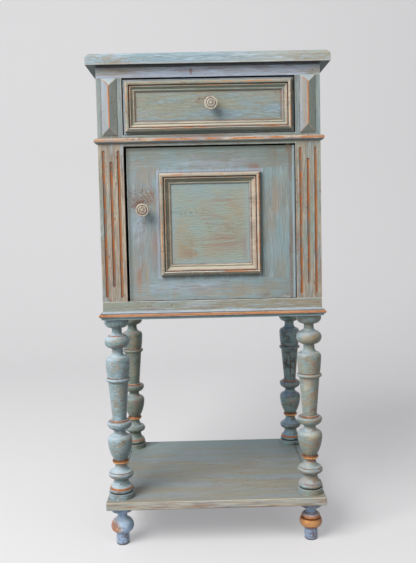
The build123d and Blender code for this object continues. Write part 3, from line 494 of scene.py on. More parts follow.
def paintRails():
    values = {
        "coats": {"top_rail": ("lilac", "fadedTan", "brightBlue"), "mid_rail": ("sage", "taupe", "paleBlue"),
                  "bottom_rail": ("sage", "fadedTan", "paleBlue")},
        "paintedLightHeight": 0.018, "shadowUnderTop": (-0.0032, -0.0016), "arrisHighlight": (-0.0016, -0.0006),
    }
    fine, upright = (20.0, 300.0, 300.0), (300.0, 300.0, 20.0)
    marks = {  # places are from the middle of the rail's upper edge
        "top_rail": ((-0.02, -0.006, 0.19, 0.012, fine, "rustPink", 0.5, 0.6),
                     (-0.15, -0.008, 0.05, 0.014, fine, "tan", 0.6, 0.6),
                     (0.12, -0.008, 0.07, 0.014, fine, "rustPink", 0.5, 0.5),
                     (-0.028, -0.010, 0.0035, 0.009, upright, "rust", 0.7, 1.0)),
        "mid_rail": (),
        "bottom_rail": ((0.0, -0.012, 0.22, 0.020, (18.0, 300.0, 300.0), "paleBlue", 0.6, 0.35),
                        (-0.08, -0.020, 0.22, 0.020, (24.0, 260.0, 260.0), "rustPink", 0.6, 0.35)),
    }
    for name, (paint, undercoat, dryBrush) in values["coats"].items():
        job = startJob(name.split("_")[0] + "RailPaint", paint=paint, undercoat=undercoat,
                       dryBrush=dryBrush, rubAmount=0.06, speckAmount=0.03, contrast=0.8)
        frameEdges(job)
        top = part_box(name)[1].z
        # painted light towards the top of the top rail, against the shade of the overhang
        if name == "top_rail":
            job.tint(job.z.ramp(top - values["paintedLightHeight"], top, 0.1, 0.9), "brightBlue", 0.6)
        job.scuff((0.0, top), marks[name])
        # painted shadow under the top board's overhang
        if name == "top_rail":
            job.tint(job.z.past(top, *values["shadowUnderTop"]), "shadeBlack", 0.8)
        # a painted highlight along the bottom rail's upper arris
        if name == "bottom_rail":
            job.tint(job.z.past(top, *values["arrisHighlight"]), "chalk", 0.5)
        # painted shade in the gaps round the openings
        job.paintGapShade(faceY)
        dress(job.finish(), name)


def paintStiles():
    values = {"copperDepth": 0.00135, "fullDepth": 0.0017, "reach": 0.0195, "middleReach": 0.006,
              "endRun": 0.030, "middleSetback": 0.018, "margin": 0.0065, "wander": 0.0012,
              "shadowUnderTop": (-0.0022, -0.0011), "upperPart": (-0.006, -0.002), "brown": (0.0002, 0.0010),
              "copper": (-0.0003, 0.0002), "innerStrip": (0.0, -0.001), "outerStrip": (0.0, 0.004)}
    job = startJob("stilePaint", paint="sage", undercoat="taupe", glaze="cream", grain=(330.0, 330.0, 13.0),
                   undercoatAmount=0.56, dryBrushAmount=0.38, speckAmount=0.08, edgeAmount=0.9,
                   edgeColour="cream", contrast=0.9)
    blockLow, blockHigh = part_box("facet_block_right")
    fromCentre = abs(job.x)
    frameEdges(job)
    # cooler beside the blocks
    upper = job.z.past(blockLow.z, *values["upperPart"])
    job.tint(upper, "mossGrey", 0.34)
    job.tint(upper * fromCentre.past(blockLow.x, *values["innerStrip"]), "blue", 0.45)
    job.tint(upper * fromCentre.past(blockHigh.x, *values["outerStrip"]), "blue", 0.5)
    # copper in the three flutes, following their depth and fading at their ends
    across = abs(fromCentre - (blockLow.x + blockHigh.x) / 2)
    onBand = across.past(values["reach"], 0.0, -0.001)
    isMiddle = across.past(values["middleReach"], 0.001, 0.0)
    halfLength = (doorHigh.z - doorLow.z) / 2 - values["margin"]
    endRoom = halfLength - abs(job.z - (doorLow.z + doorHigh.z) / 2) - isMiddle * values["middleSetback"]
    taper = endRoom.ramp(values["endRun"], 0.0, 0.0, values["fullDepth"] - values["copperDepth"])
    wander = (job.streaks((90.0, 90.0, 16.0)) - 0.5) * values["wander"]
    depth = job.y - faceY - taper + wander
    job.tint(onBand * depth.ramp(*values["brown"]), "rustBrown", 0.55)
    core = onBand * depth.past(values["copperDepth"], *values["copper"])
    job.copper(core, cover=0.58, scale=48.0, coat="flameCopper")
    # no painted gap shade where the door's hinge side closes against the stile
    hingeSide = job.x.ramp(0.0, 0.01) * (1.0 - upper)
    job.paintGapShade(faceY, 1.0 - hingeSide)
    job.shelter = hingeSide
    # painted shadow under the top board's overhang
    job.tint(job.z.past(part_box("top_rail")[1].z, *values["shadowUnderTop"]), "shadeBlack", 0.8)
    dress(job.finish(), "face_stile_left", "face_stile_right")


def paintBlocks():
    values = {"hipWidth": 0.0024, "ridgeWidth": 0.0026, "softness": 0.0006, "rim": (0.0040, 0.0024),
              "strokes": (260.0, 260.0, 16.0), "copperScale": 45.0, "innerHalf": (0.15, 0.5)}
    job = startJob("blockPaint", paint="sage", undercoat="lilacGrey", dryBrush="lilac", glaze="pink",
                   grain=alongZ, rubAmount=0.06, dryBrushAmount=0.34, edgeAmount=0.8, edgeStrength=0.4,
                   edgeWidth=0.0008, contrast=0.8)
    soft = values["softness"]
    low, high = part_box("facet_block_right")
    halfWide, halfTall = (high.x - low.x) / 2, (high.z - low.z) / 2
    # places on a block, the same on both: to the right of its ridge, up, and the room left to its edges
    rightward = (abs(job.x) - (low.x + high.x) / 2) * job.x.maths("SIGN")
    upward = job.z - (low.z + high.z) / 2
    sideRoom = halfWide - abs(rightward)
    endRoom = halfTall - abs(upward)
    pastHip = sideRoom - endRoom
    onHip = job.line(pastHip, 0.0, values["hipWidth"])
    endFacet = pastHip.ramp(-soft, soft)
    sideFacet = 1.0 - endFacet
    isLeft = rightward.ramp(soft, -soft)
    isUpper = upward.ramp(-0.001, 0.001)
    leftFacet = sideFacet * isLeft
    # painted light on the upper end facet and the left facet, painted shade on the right and lower facets
    job.tint(endFacet * isUpper, "brightBlue", 0.5)
    job.tint(leftFacet, "paleBlue", 0.25)
    job.tint(leftFacet * job.streaks(values["strokes"], roughness=0.6).ramp(0.46, 0.60), "pink", 0.6)
    job.tint(leftFacet * job.x.ramp(-0.01, 0.01), "taupe", 0.3)
    job.tint(sideFacet * (1.0 - isLeft), "mossGrey", 0.5)
    job.tint(endFacet * (1.0 - isUpper), "olive", 0.6)
    # painted light along the rim of the left facet
    job.tint(leftFacet * sideRoom.ramp(*values["rim"]), "lilac", 0.32)
    job.tint(onHip * isUpper, "ivory", 0.8)
    job.tint(onHip * (1.0 - isUpper), "pink", 0.55)
    innerHalf = sideRoom.ramp(*(halfWide * share for share in values["innerHalf"]))
    job.copper(onHip * isUpper * isLeft * innerHalf, cover=1.0, scale=values["copperScale"])
    ridge = job.line(rightward, 0.0, values["ridgeWidth"]) * (endRoom - halfWide).ramp(-0.001, 0.001)
    job.copper(ridge, cover=0.95, scale=values["copperScale"])
    dress(job.finish(), "facet_block_left", "facet_block_right")


# Half-round and hollow mouldings round the carcass

def paintBeads():
    values = {"mid": {"cover": 0.55, "seed": (0.0, 0.0, 0.0)},
              "base": {"cover": 0.92, "seed": (0.31, 0.0, 0.0)}, "baseBead": (0.0034, 0.0102),
              "lowerHalf": (-0.0012, -0.0024), "hollow": (-0.0002, 0.0006), "belowBead": (-0.0002, -0.0010),
              "copperUp": 0.0006, "copperWidth": 0.0036}
    for level in ("mid", "base"):
        job = startJob(level + "BeadPaint", paint="cream", undercoat="mauve", dryBrush="chalk",
                       rubAmount=0.12, edgeAmount=0.9, seed=values[level]["seed"], grooveReach=0.008)
        low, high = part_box(level + "_moulding_front")
        beadLow, beadHigh = low.z, high.z
        if level == "base":
            beadLow, beadHigh = (low.z + up for up in values["baseBead"])
        middle = (beadLow + beadHigh) / 2
        # painted shade on the lower half of the bead
        job.tint(job.z.past(middle, *values["lowerHalf"]), "darkTeal", 0.7)
        if level == "base":
            # a pale hollow over the bead, partly painted light where it faces up, a brown line between them,
            # teal below
            job.tint(job.z.past(beadHigh, *values["hollow"]), "paleBlue", 0.7)
            job.tint(job.line(job.z, beadHigh, 0.0012), "brown", 0.8)
            job.tint(job.z.past(beadLow, *values["belowBead"]), "teal", 0.8)
        crest = job.line(job.z, middle + values["copperUp"], values["copperWidth"])
        job.copper(crest, cover=values[level]["cover"], scale=30.0)
        dress(job.finish(), *[f"{level}_moulding_{side}" for side in ("front", "left", "right")])


# Panel mouldings of the drawer and the door, coloured by the distance from their outer edge

panelMoulding = {  # how far each member reaches in from the outer edge
    "door": {"bead": 0.0068, "quirk": 0.0080, "fillet": 0.0096, "hollow": 0.0150, "innerBead": 0.0180},
    "drawer": {"bead": 0.0068, "quirk": 0.0080, "fillet": 0.0096, "hollow": 0.0132, "innerBead": 0.0162},
}
# besides their own colours, the sides carry painted light and shade: a lilac rim on top; darker hollows on
# the top and left; shaded rims and outer flanks on the right and bottom; paler hollows on the right and
# bottom and a pale crest at the bottom
mouldingCoatsAndPaintedLight = {  # for each side: how each member is coloured, and how strongly
    "top": {"rim": ("lilac", 0.7), "flank": ("ivory", 0.5), "crest": ("ivory", 0.5),
            "quirk": ("rustBrown", 0.7), "fillet": ("sage", 0.6), "hollow": ("olive", 0.75),
            "innerBead": ("sage", 0.6), "edge": ("darkOlive", 0.8)},
    "left": {"rim": ("taupe", 0.5), "flank": ("sage", 0.5), "crest": ("sage", 0.6),
             "quirk": ("rustBrown", 0.65), "fillet": ("fadedTan", 0.8), "hollow": ("olive", 0.6),
             "innerBead": ("fadedTan", 0.75), "edge": ("rust", 0.65)},
    "right": {"rim": ("darkTeal", 0.6), "flank": ("brown", 0.75), "crest": ("ivory", 0.6),
              "quirk": ("rustPink", 0.7), "fillet": ("pink", 0.5), "hollow": ("cream", 0.3),
              "innerBead": ("mauve", 0.6), "edge": ("rust", 0.5)},
    "bottom": {"rim": ("darkTeal", 0.7), "flank": ("darkOlive", 0.8), "crest": ("chalk", 0.75),
               "quirk": ("rust", 0.6), "fillet": ("pink", 0.5), "hollow": ("ivory", 0.85),
               "innerBead": ("ivory", 0.5), "edge": ("rust", 0.5)},
}


def paintPanelMoulding(part, topShade=0.0, **changes):
    values = {"cover": 0.42, "crestWidth": 0.0018, "quirkWidth": 0.0010, "crestShare": 0.5,
              "lowestCrestShare": 0.85, "lowestReach": {"crest": 0.0022, "quirk": 0.0016, "fillet": 0.0012}}
    size = panelMoulding[part]
    low, high = outline(part + "_moulding_left", part + "_moulding_right")
    starts = {"rim": -0.001, "flank": 0.0008, "crest": size["bead"] / 2, "quirk": size["bead"] - 0.0006,
              "fillet": size["quirk"] + 0.0002, "hollow": size["fillet"] + 0.0002,
              "innerBead": size["hollow"], "edge": size["innerBead"] - 0.0002, "end": 0.03}
    for side, members in mouldingCoatsAndPaintedLight.items():
        job = startJob(f"{part}Moulding{side.title()}Paint", paint="cream", dryBrush="ivory",
                       grooveReach=0.004, edgeStrength=0.3, contrast=0.8, **changes)
        distance = job.inward(low, high)
        # the painted shade on the lowest bead reaches well past its crest
        reach = values["lowestReach"] if side == "bottom" else {}
        shifted = {member: start + reach.get(member, 0.0) for member, start in starts.items()}
        for member, later in zip(starts, list(starts)[1:]):
            job.band(distance, shifted[member], shifted[later], *members[member])
        # painted shade over the whole top side
        if side == "top":
            job.tint(1.0, "mossGrey", topShade)
        crest = size["bead"] * values["lowestCrestShare" if side == "bottom" else "crestShare"]
        job.copper(job.line(distance, crest, values["crestWidth"]), cover=values["cover"], scale=30.0)
        job.copper(job.line(distance, size["quirk"] + 0.0004, values["quirkWidth"]), cover=values["cover"],
                   scale=40.0)
        dress(job.finish(), f"{part}_moulding_{side}")


# Door and drawer front

def paintDoor():
    values = {
        "worn": (0.032, 1.0, 0.028), "wornUp": 0.016, "specks": 0.30, "streakX": 0.1340,
        "streakWidth": 0.0064, "railStart": 0.002, "railEnd": 0.014, "railShadowRun": (-0.046, -0.004),
        "railShadowEdge": (-0.008, -0.001), "latchShade": (0.009, 0.001), "hingeStrip": (-0.0050, -0.0036),
        "hingeShelter": (-0.006, -0.004), "gapEnd": (-0.010, -0.014), "openTop": (-0.02, -0.03),
        "openSide": (-0.012, -0.006), "besideLine": (-0.0030, 0.0046), "rustLine": (-0.0004, 0.0012),
        "contactStart": (-0.0095, -0.0003), "contactEnd": (0.001, 0.0),
    }
    upright, level, cloudy = (240.0, 240.0, 22.0), (26.0, 260.0, 260.0), (60.0, 60.0, 60.0)
    dots, coarseDots = (380.0, 380.0, 380.0), (330.0, 330.0, 330.0)
    # both lists as scuff takes them, from the floor's middle and from the knob
    marks = (
        (-0.112, 0.655, 0.040, 0.040, cloudy, "taupe", 0.45, 0.7),
        (-0.100, 0.612, 0.026, 0.055, cloudy, "fadedTan", 0.5, 0.6),
        (-0.120, 0.560, 0.022, 0.050, cloudy, "lilac", 0.35, 0.8),
        (-0.118, 0.470, 0.022, 0.060, upright, "tan", 0.7, 0.65),
        (-0.122, 0.488, 0.014, 0.060, upright, "rustPink", 0.75, 0.55),
        (-0.096, 0.600, 0.008, 0.050, upright, "rustPink", 0.65, 0.6),
        (-0.094, 0.520, 0.010, 0.050, upright, "rustPink", 0.5, 0.7),
        (-0.040, 0.452, 0.100, 0.016, level, "lilac", 0.5, 0.7),
        (-0.080, 0.432, 0.080, 0.010, level, "taupe", 0.5, 0.7),
        (0.030, 0.444, 0.110, 0.014, level, "fadedTan", 0.6, 0.8),
        (0.040, 0.428, 0.110, 0.005, level, "rustPink", 0.5, 0.6),
        (0.118, 0.433, 0.036, 0.004, cloudy, "chalk", 0.4, 0.5),
        (0.112, 0.436, 0.045, 0.008, cloudy, "rustBrown", 0.6, 0.3),
        (0.107, 0.672, 0.010, 0.030, upright, "rust", 0.5, 0.7),
        (0.132, 0.680, 0.010, 0.008, upright, "rust", 0.85, 1.1),
        (0.075, 0.652, 0.026, 0.014, cloudy, "rust", 0.55, 0.6),
        (-0.010, 0.668, 0.060, 0.018, cloudy, "taupe", 0.35, 0.6),
        (0.000, 0.662, 0.110, 0.016, level, "lilac", 0.45, 0.75),
        (0.108, 0.570, 0.026, 0.120, upright, "taupe", 0.6, 0.7),
        (0.112, 0.520, 0.022, 0.060, upright, "doorBlue", 0.6, 0.6),
    )
    knobMarks = (
        (-0.002, 0.020, 0.036, 0.028, dots, "rustBrown", 0.85, 0.35),
        (-0.007, 0.010, 0.017, 0.014, dots, "rustBrown", 0.85, 1.0),
        (0.012, 0.024, 0.022, 0.022, coarseDots, "rustBrown", 0.85, 0.45),
        (-0.004, -0.022, 0.018, 0.012, dots, "rustBrown", 0.85, 0.2),
    )
    mouldLow, mouldHigh = outline("door_moulding_left", "door_moulding_right")
    knob = sum(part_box("door_knob"), Vector()) / 2
    job = PaintJob("doorPaint", paint="doorBlue", undercoat="doorGrey", glaze="fadedTan",
                   grain=(95.0, 95.0, 10.0), crossGrain=(11.0, 95.0, 95.0), cloud=(20.0, 20.0, 11.0),
                   dryBrushAmount=0.28, rubAmount=0.0, speckAmount=0.02, contrast=0.52, bump=0.0007)
    x, z = job.x, job.z
    job.sprinkle(knob + Vector((0.0, 0.0, values["wornUp"])), values["worn"], values["specks"])
    # the grain turns with the rails, above and below the moulding
    beyond = abs(z - (mouldLow.z + mouldHigh.z) / 2) - (mouldHigh.z - mouldLow.z) / 2
    job.brush(beyond.ramp(values["railStart"], values["railEnd"], 0.2, 0.9))
    # greener towards the hinges, greyer by the knob
    job.tint(x.ramp(0.03, 0.11), "mossGrey", 0.22)
    job.tint(x.ramp(-0.07, -0.12), "doorGrey", 0.3)
    job.scuff((0.0, 0.0), marks)
    job.scuff((knob.x, knob.z), knobMarks)
    outerEdge = job.inward(doorLow, doorHigh).ramp(0.005, 0.003)
    hingeEnd = x.past(doorHigh.x, *values["openSide"], 1.0, 0.2)
    job.openEdges = outerEdge * z.past(doorHigh.z, *values["openTop"]) * hingeEnd
    # round the moulding: a lilac strip of painted light and a rust line above and to the left, painted shade
    # below and to the right
    distance = job.inward(mouldLow, mouldHigh)
    leftOrTop = x.past(mouldLow.x, 0.002, 0.0).most(z.past(mouldHigh.z, -0.002, 0.0))
    job.tint(job.line(distance, *values["besideLine"]) * leftOrTop, "lilac", 0.48)
    contact = distance.ramp(*values["contactStart"]) * distance.ramp(*values["contactEnd"])
    job.tint(contact * (1.0 - leftOrTop), "darkTeal", 0.42)
    job.tint(job.line(distance, *values["rustLine"]) * leftOrTop, "rust", 0.6)
    # painted shadow under the rail above and painted shade along the latch side
    job.tint(z.past(doorHigh.z, *values["railShadowRun"]), "olive", 0.5)
    job.tint(z.past(doorHigh.z, *values["railShadowEdge"]), "darkOlive", 0.7)
    job.tint(x.past(doorLow.x, *values["latchShade"]), "darkOlive", 0.5)
    # a wavering rust streak, and down the hinge side a pale strip: paint over the closed gap, with a painted
    # highlight on its arris
    swayed = x + job.streaks((120.0, 1.0, 40.0)).ramp(0.3, 0.7, -0.0012, 0.0012)
    streak = job.line(swayed, values["streakX"], values["streakWidth"])
    fading = job.streaks((1.0, 1.0, 9.0), 2.0).ramp(0.30, 0.62, 0.3, 1.0)
    job.tint(streak * fading, "rustBrown", 0.5)
    job.tint(x.past(doorHigh.x, *values["hingeStrip"]), "paleBlue", 0.42)
    # painted shade in the gap round the door
    job.paintGapShade(doorLow.y, x.past(doorHigh.x, *values["gapEnd"]))
    job.shelter = x.past(doorHigh.x, *values["hingeShelter"])
    dress(job.finish(), "door_stile_knob", "door_stile_hinge", "door_rail_top", "door_rail_bottom")


def paintDoorPanel():
    values = {"rimBlue": (0.036, 0.018), "shadowUnderMoulding": (-0.021, -0.014)}
    upright, level, cloudy = (200.0, 200.0, 16.0), (14.0, 200.0, 200.0), (45.0, 45.0, 45.0)
    steep, flat = (70.0, 70.0, 40.0), (40.0, 120.0, 120.0)
    marks = (
        (-0.058, 0.520, 0.020, 0.070, upright, "tan", 0.55, 0.8),
        (-0.045, 0.525, 0.026, 0.060, cloudy, "fadedTan", 0.8, 0.8),
        (-0.020, 0.512, 0.060, 0.026, cloudy, "tan", 0.45, 0.8),
        (0.025, 0.530, 0.060, 0.030, level, "taupe", 0.7, 0.8),
        (0.040, 0.580, 0.045, 0.050, cloudy, "fadedTan", 0.6, 0.7),
        (-0.030, 0.590, 0.040, 0.040, cloudy, "fadedTan", 0.4, 0.6),
        (-0.030, 0.512, 0.034, 0.040, steep, "streakOlive", 0.5, 0.5),
        (0.030, 0.548, 0.050, 0.050, flat, "streakOlive", 0.45, 0.5),
        (0.020, 0.590, 0.050, 0.030, flat, "taupe", 0.5, 0.4),
        (0.058, 0.520, 0.012, 0.040, upright, "rustPink", 0.5, 0.6),
        (0.022, 0.528, 0.052, 0.022, level, "rustPink", 0.5, 0.5),
        (0.010, 0.566, 0.060, 0.020, level, "rustPink", 0.5, 0.5),
        (0.026, 0.596, 0.040, 0.016, level, "rustPink", 0.5, 0.5),
        (-0.040, 0.508, 0.030, 0.010, level, "rustPink", 0.4, 0.5),
        (-0.010, 0.612, 0.070, 0.022, cloudy, "doorBlue", 0.6, 0.8),
    )
    job = startJob("doorPanelPaint", paint="panelTeal", glaze="fadedTan", grain=(22.0, 170.0, 170.0),
                   cloud=(14.0, 14.0, 14.0), undercoatAmount=0.66, rubAmount=0.0, speckAmount=0.03,
                   dryBrushAmount=0.2, contrast=0.36)
    low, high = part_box("door_panel")
    job.scuff((0.0, 0.0), marks)
    job.tint(job.inward(low, high).ramp(*values["rimBlue"]), "blue", 0.5)
    # painted shadow under the top moulding
    job.tint(job.z.past(high.z, *values["shadowUnderMoulding"]), "darkOlive", 0.45)
    dress(job.finish(), "door_panel")


def paintDrawerFront():
    values = {"worn": (0.034, 1.0, 0.014), "wornShift": (-0.008, 0.0, 0.008), "specks": 0.34,
              "fieldInset": 0.003, "rustLine": ((0.0045, 0.0020), (-0.0010, 0.0)),
              "fieldShade": (-0.0045, 0.0), "strip": (0.0004, -0.0004), "stripEnd": (-0.004, -0.006)}
    job = PaintJob("drawerFrontPaint", glaze="fadedTan", grain=(15.0, 420.0, 420.0), undercoatAmount=0.56,
                   glazeAmount=0.5, rubAmount=0.03, speckAmount=0.05, dryBrushAmount=0.3, contrast=1.05)
    low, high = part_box("drawer_front")
    knob = sum(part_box("drawer_knob"), Vector()) / 2
    job.sprinkle(knob + Vector(values["wornShift"]), values["worn"], values["specks"])
    job.brush()
    # rust along the edge of the sunk field, and shade under the moulding above it
    inset = panelMoulding["drawer"]["innerBead"] + values["fieldInset"]
    inside = job.inward(low, high)
    inner, outer = values["rustLine"]
    job.tint(inside.past(inset, *inner) * inside.past(inset, *outer), "rust", 0.4)
    job.tint(job.z.past(high.z - inset, *values["fieldShade"]), "darkOlive", 0.5)
    # the strip outside the moulding: painted light in lilac above and to the left, painted shade in olive
    # below
    outside = job.inward(*outline("drawer_moulding_left", "drawer_moulding_right"))
    strip = outside.ramp(*values["strip"]) * job.x.past(high.x, *values["stripEnd"])
    leftOrTop = job.x.past(low.x, 0.006, 0.003).most(job.z.past(high.z, -0.006, -0.003))
    job.tint(strip * leftOrTop, "lilac", 0.45)
    job.tint(strip * (1.0 - leftOrTop), "olive", 0.35)
    # painted shade in the gap round the drawer front
    job.paintGapShade(low.y)
    job.shelter = strip
    dress(job.finish(), "drawer_front")


# Knobs

def paintKnob(name):
    values = {"rings": (0.0071, 0.0048, 0.0021), "ringWidth": 0.0011}
    job = startJob(name + "Paint", paint="ivory", undercoat="pink", glaze="fadedTan", dryBrush="chalk",
                   grain=everyWay, grooveReach=0.003, edgeWidth=0.0005, undercoatAmount=0.4,
                   glazeAmount=0.4, ownGrooves=True)
    middle = sum(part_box(name), Vector()) / 2
    offset = job.position.vector("SUBTRACT", (middle.x, 0.0, middle.z))
    radius = offset.vector("MULTIPLY", (1.0, 0.0, 1.0)).vector("LENGTH")
    for ring in values["rings"]:
        job.tint(job.line(radius, ring, values["ringWidth"]), "rustBrown", 0.7)
    dress(job.finish(), name)


# Legs, feet and shelf

legPaint = {
    "grain": (75.0, 75.0, 150.0), "markShare": 0.62, "copperBead": (0.0644, 0.0084),
    # ledge, low ring, collar, thin ring, shoulder and cuff: middle above the shelf, and width
    "lines": ((0.0185, 0.0036), (0.0457, 0.0012), (0.1369, 0.0025), (0.2122, 0.0015), (0.2482, 0.0016),
              (0.2857, 0.0014)),
    "cover": {  # how well each line is covered, in the same order
        "front_left": (1.0, 0.5, 0.85, 0.5, 0.1, 0.5), "front_right": (0.0, 0.4, 0.95, 0.55, 0.2, 0.2),
        "rear_left": (0.6, 0.4, 1.2, 0.9, 0.4, 0.5), "rear_right": (0.75, 0.4, 0.85, 0.5, 0.3, 0.6),
    },
    "marks": {  # side and height above the shelf, reach to the side and up, coat and strength
        "front_left": (
            (-0.004, 0.235, 0.014, 0.014, "tan", 0.7), (0.006, 0.190, 0.012, 0.020, "tan", 0.6),
            (-0.004, 0.165, 0.010, 0.026, "taupe", 0.7), (0.010, 0.100, 0.016, 0.018, "tan", 0.8),
            (-0.006, 0.096, 0.014, 0.018, "fadedTan", 0.7), (0.008, 0.270, 0.018, 0.006, "rustPink", 0.6),
            (-0.006, 0.041, 0.016, 0.006, "rust", 0.6), (0.000, 0.280, 0.020, 0.010, "tan", 0.5),
            (0.004, 0.058, 0.020, 0.008, "rustPink", 0.6)),
        "front_right": (
            (0.004, 0.236, 0.018, 0.016, "tan", 0.9), (0.008, 0.228, 0.012, 0.014, "rustPink", 0.7),
            (0.006, 0.172, 0.014, 0.034, "tan", 1.0), (-0.002, 0.095, 0.020, 0.020, "tan", 1.0),
            (-0.004, 0.200, 0.012, 0.012, "rustPink", 0.6), (0.008, 0.090, 0.012, 0.016, "rustPink", 0.7),
            (0.000, 0.110, 0.020, 0.016, "ivory", 0.7), (0.004, 0.276, 0.020, 0.010, "tan", 0.8),
            (0.006, 0.028, 0.018, 0.012, "tan", 0.8), (0.004, 0.048, 0.020, 0.010, "fadedTan", 0.8),
            (0.010, 0.132, 0.016, 0.005, "rustPink", 0.7), (-0.006, 0.190, 0.010, 0.020, "ivory", 0.6),
            (-0.004, 0.020, 0.030, 0.008, "rust", 0.9), (0.000, 0.056, 0.030, 0.008, "rust", 0.8),
            (0.000, 0.038, 0.030, 0.006, "rustPink", 0.9), (0.004, 0.150, 0.010, 0.010, "rustPink", 0.8)),
        "rear_left": (
            (0.006, 0.228, 0.014, 0.034, "tan", 0.9), (0.008, 0.104, 0.014, 0.024, "rustPink", 0.8),
            (0.004, 0.172, 0.014, 0.034, "fadedTan", 0.7), (0.004, 0.280, 0.020, 0.010, "tan", 0.7)),
        "rear_right": (
            (0.000, 0.100, 0.020, 0.020, "taupe", 0.7), (0.006, 0.035, 0.018, 0.014, "tan", 0.5)),
    },
}


def paintLeg(place, look, highlightCoat="brightBlue", highlightShare=0.72, scratches=0.0):
    values = {"upPull": 0.8, "leftPull": 0.5, "shadeShare": 0.5, "taper": (0.172, 0.085)}
    name = "leg_" + place
    job = startJob(name + "Paint", **look)
    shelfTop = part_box("under_shelf")[1].z
    low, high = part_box(name)
    level = job.z - shelfTop
    job.scuff(((low.x + high.x) / 2, shelfTop), [
        (*where, legPaint["grain"], coat, strength, legPaint["markShare"])
        for *where, coat, strength in legPaint["marks"][place]])
    # painted light on the upper and left-facing curves, painted shade below and on the right-facing side
    facingLight = job.facingZ * values["upPull"] - job.facingX * values["leftPull"]
    job.tint(facingLight.ramp(0.12, 0.85), highlightCoat, highlightShare)
    job.tint(facingLight.ramp(0.04, -0.62), "darkOlive", values["shadeShare"])
    if scratches:
        scored = job.streaks((330.0, 330.0, 18.0), 2.0, 0.4).ramp(0.56, 0.62)
        job.tint(scored * job.line(level, *values["taper"]), "brown", scratches)
    for (middle, width), cover in zip(legPaint["lines"], legPaint["cover"][place]):
        job.tint(job.line(level, middle - width * 0.3, width * 1.3), "rustBrown", cover * 0.6)
        job.copper(job.line(level, middle, width), cover=cover, scale=90.0)
    # the copper bead: brown above, a gold line under its middle painted as its highlight, brown at its foot
    middle, width = legPaint["copperBead"]
    job.copper(job.line(level, middle, width), cover=1.0, scale=20.0, coat="bronze")
    entering = level.past(middle, -width * 0.02, width * 0.20)
    leaving = level.past(middle, width * 0.5, width * 0.44)
    job.tint(entering * leaving, "rustBrown", 0.85)
    job.tint(job.line(level, middle - width * 0.40, width * 0.24), "rustBrown", 0.6)
    job.tint(job.line(level, middle - width * 0.14, width * 0.26), "paleGold", 0.7)
    dress(job.finish(metal=0.4, gloss=0.3), name)


def paintLegs():
    front = {"undercoat": "teal", "glaze": "fadedTan", "dryBrush": "brightBlue", "grain": (40.0, 40.0, 200.0),
             "cloud": (34.0, 34.0, 50.0), "glazeAmount": 0.4, "rubAmount": 0.07, "speckAmount": 0.1,
             "dryBrushAmount": 0.34, "edgeAmount": 0.9, "edgeWidth": 0.0014, "ownGrooves": True,
             "grooveReach": 0.016, "grooveAmount": 0.85, "roughness": 0.3, "contrast": 0.9}
    warm = dict(front, seed=(0.4, 0.2, 0.1), paint="teal", undercoat="sage", glaze="tan", glazeAmount=0.5,
                bare="tan", dryBrushAmount=0.24, rubAmount=0.14, speckAmount=0.14)
    rear = dict(front, seed=(0.7, 0.1, 0.3), paint="teal", undercoat="mossGrey", undercoatAmount=0.7,
                dryBrushAmount=0.16, contrast=0.7)
    dim = dict(rear, seed=(0.2, 0.9, 0.6), undercoat="darkTeal", undercoatAmount=0.42)
    paintLeg("front_left", front)
    paintLeg("front_right", warm, highlightShare=0.4)
    paintLeg("rear_left", rear, "paleBlue", 0.36)
    paintLeg("rear_right", dim, "cornflower", 0.6, scratches=0.85)


def paintFeet():
    values = {
        "gilded": "front_right", "stub": (0.022, 0.014), "footDirt": (0.0042, 0.0022),
        "ball": (0.0328, 0.0220), "copperPart": (0.0343, 0.0250), "goldLine": (0.0325, 0.0110),
        "ringLines": ((0.0395, 0.0030), (0.0232, 0.0040)), "copperSide": (0.018, 0.006),
        "farSide": (0.2, 0.95),
    }

    def speckles(step):
        return (step, step, step)

    stubMarks = ((0.004, 0.012, 0.020, 0.016, speckles(190.0), "rustBrown", 0.85, 0.55),)
    goldMarks = ((0.012, 0.031, 0.014, 0.012, speckles(150.0), "paleGold", 0.7, 0.9),
                 (0.006, 0.034, 0.018, 0.015, speckles(260.0), "rustBrown", 0.9, 0.75))
    dirtMarks = ((0.026, 0.030, 0.020, 0.014, speckles(200.0), "brown", 0.5, 0.1),)
    for place in ("front_left", "front_right", "rear_left", "rear_right"):
        name = "foot_" + place
        offset = 0.13 * len(place)
        job = startJob(name + "Paint", paint="cornflower", undercoat="paleCornflower", glaze="sage",
                       dryBrush="brightBlue", grain=everyWay, undercoatAmount=0.6, glazeAmount=0.16,
                       rubAmount=0.08, speckAmount=0.14, seed=(offset, offset, 0.0), ownGrooves=True,
                       grooveReach=0.012, roughness=0.34)
        z, farSide = job.z, job.facingX.ramp(*values["farSide"])
        low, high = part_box(name)
        # painted light on the upward faces
        job.tint(job.facingZ.ramp(0.0, 0.85), "brightBlue", 0.6)
        job.tint(z.ramp(*values["stub"]), "paleCornflower", 0.4)
        job.scuff(((low.x + high.x) / 2, 0.0), stubMarks)
        job.tint(z.ramp(*values["footDirt"]), "brown", 0.85)
        if place == values["gilded"]:
            job.copper(job.line(z, *values["copperPart"]), cover=1.0, scale=20.0, coat="bronze")
            for ring in values["ringLines"]:
                job.tint(job.line(z, *ring), "rustBrown", 0.6)
            job.tint(job.streaks((30.0, 30.0, 300.0)).ramp(0.46, 0.62), "rustBrown", 0.45)
            # a painted highlight round the middle of the gilded ball
            job.tint(job.line(z, *values["goldLine"]), "paleGold", 0.42)
            # painted shade on the far, right-facing side
            job.tint(farSide, "rustBrown", 0.45)
        else:
            job.scuff((low.x, 0.0), goldMarks)
            leftSide = (job.x - low.x).ramp(*values["copperSide"])
            job.copper(job.line(z, *values["ball"]) * leftSide, cover=0.6, scale=170.0)
            job.scuff((low.x, 0.0), dirtMarks)
            # painted shade on the far, right-facing side
            job.tint(farSide, "darkTeal", 0.35)
        dress(job.finish(metal=0.5, gloss=0.28), name)


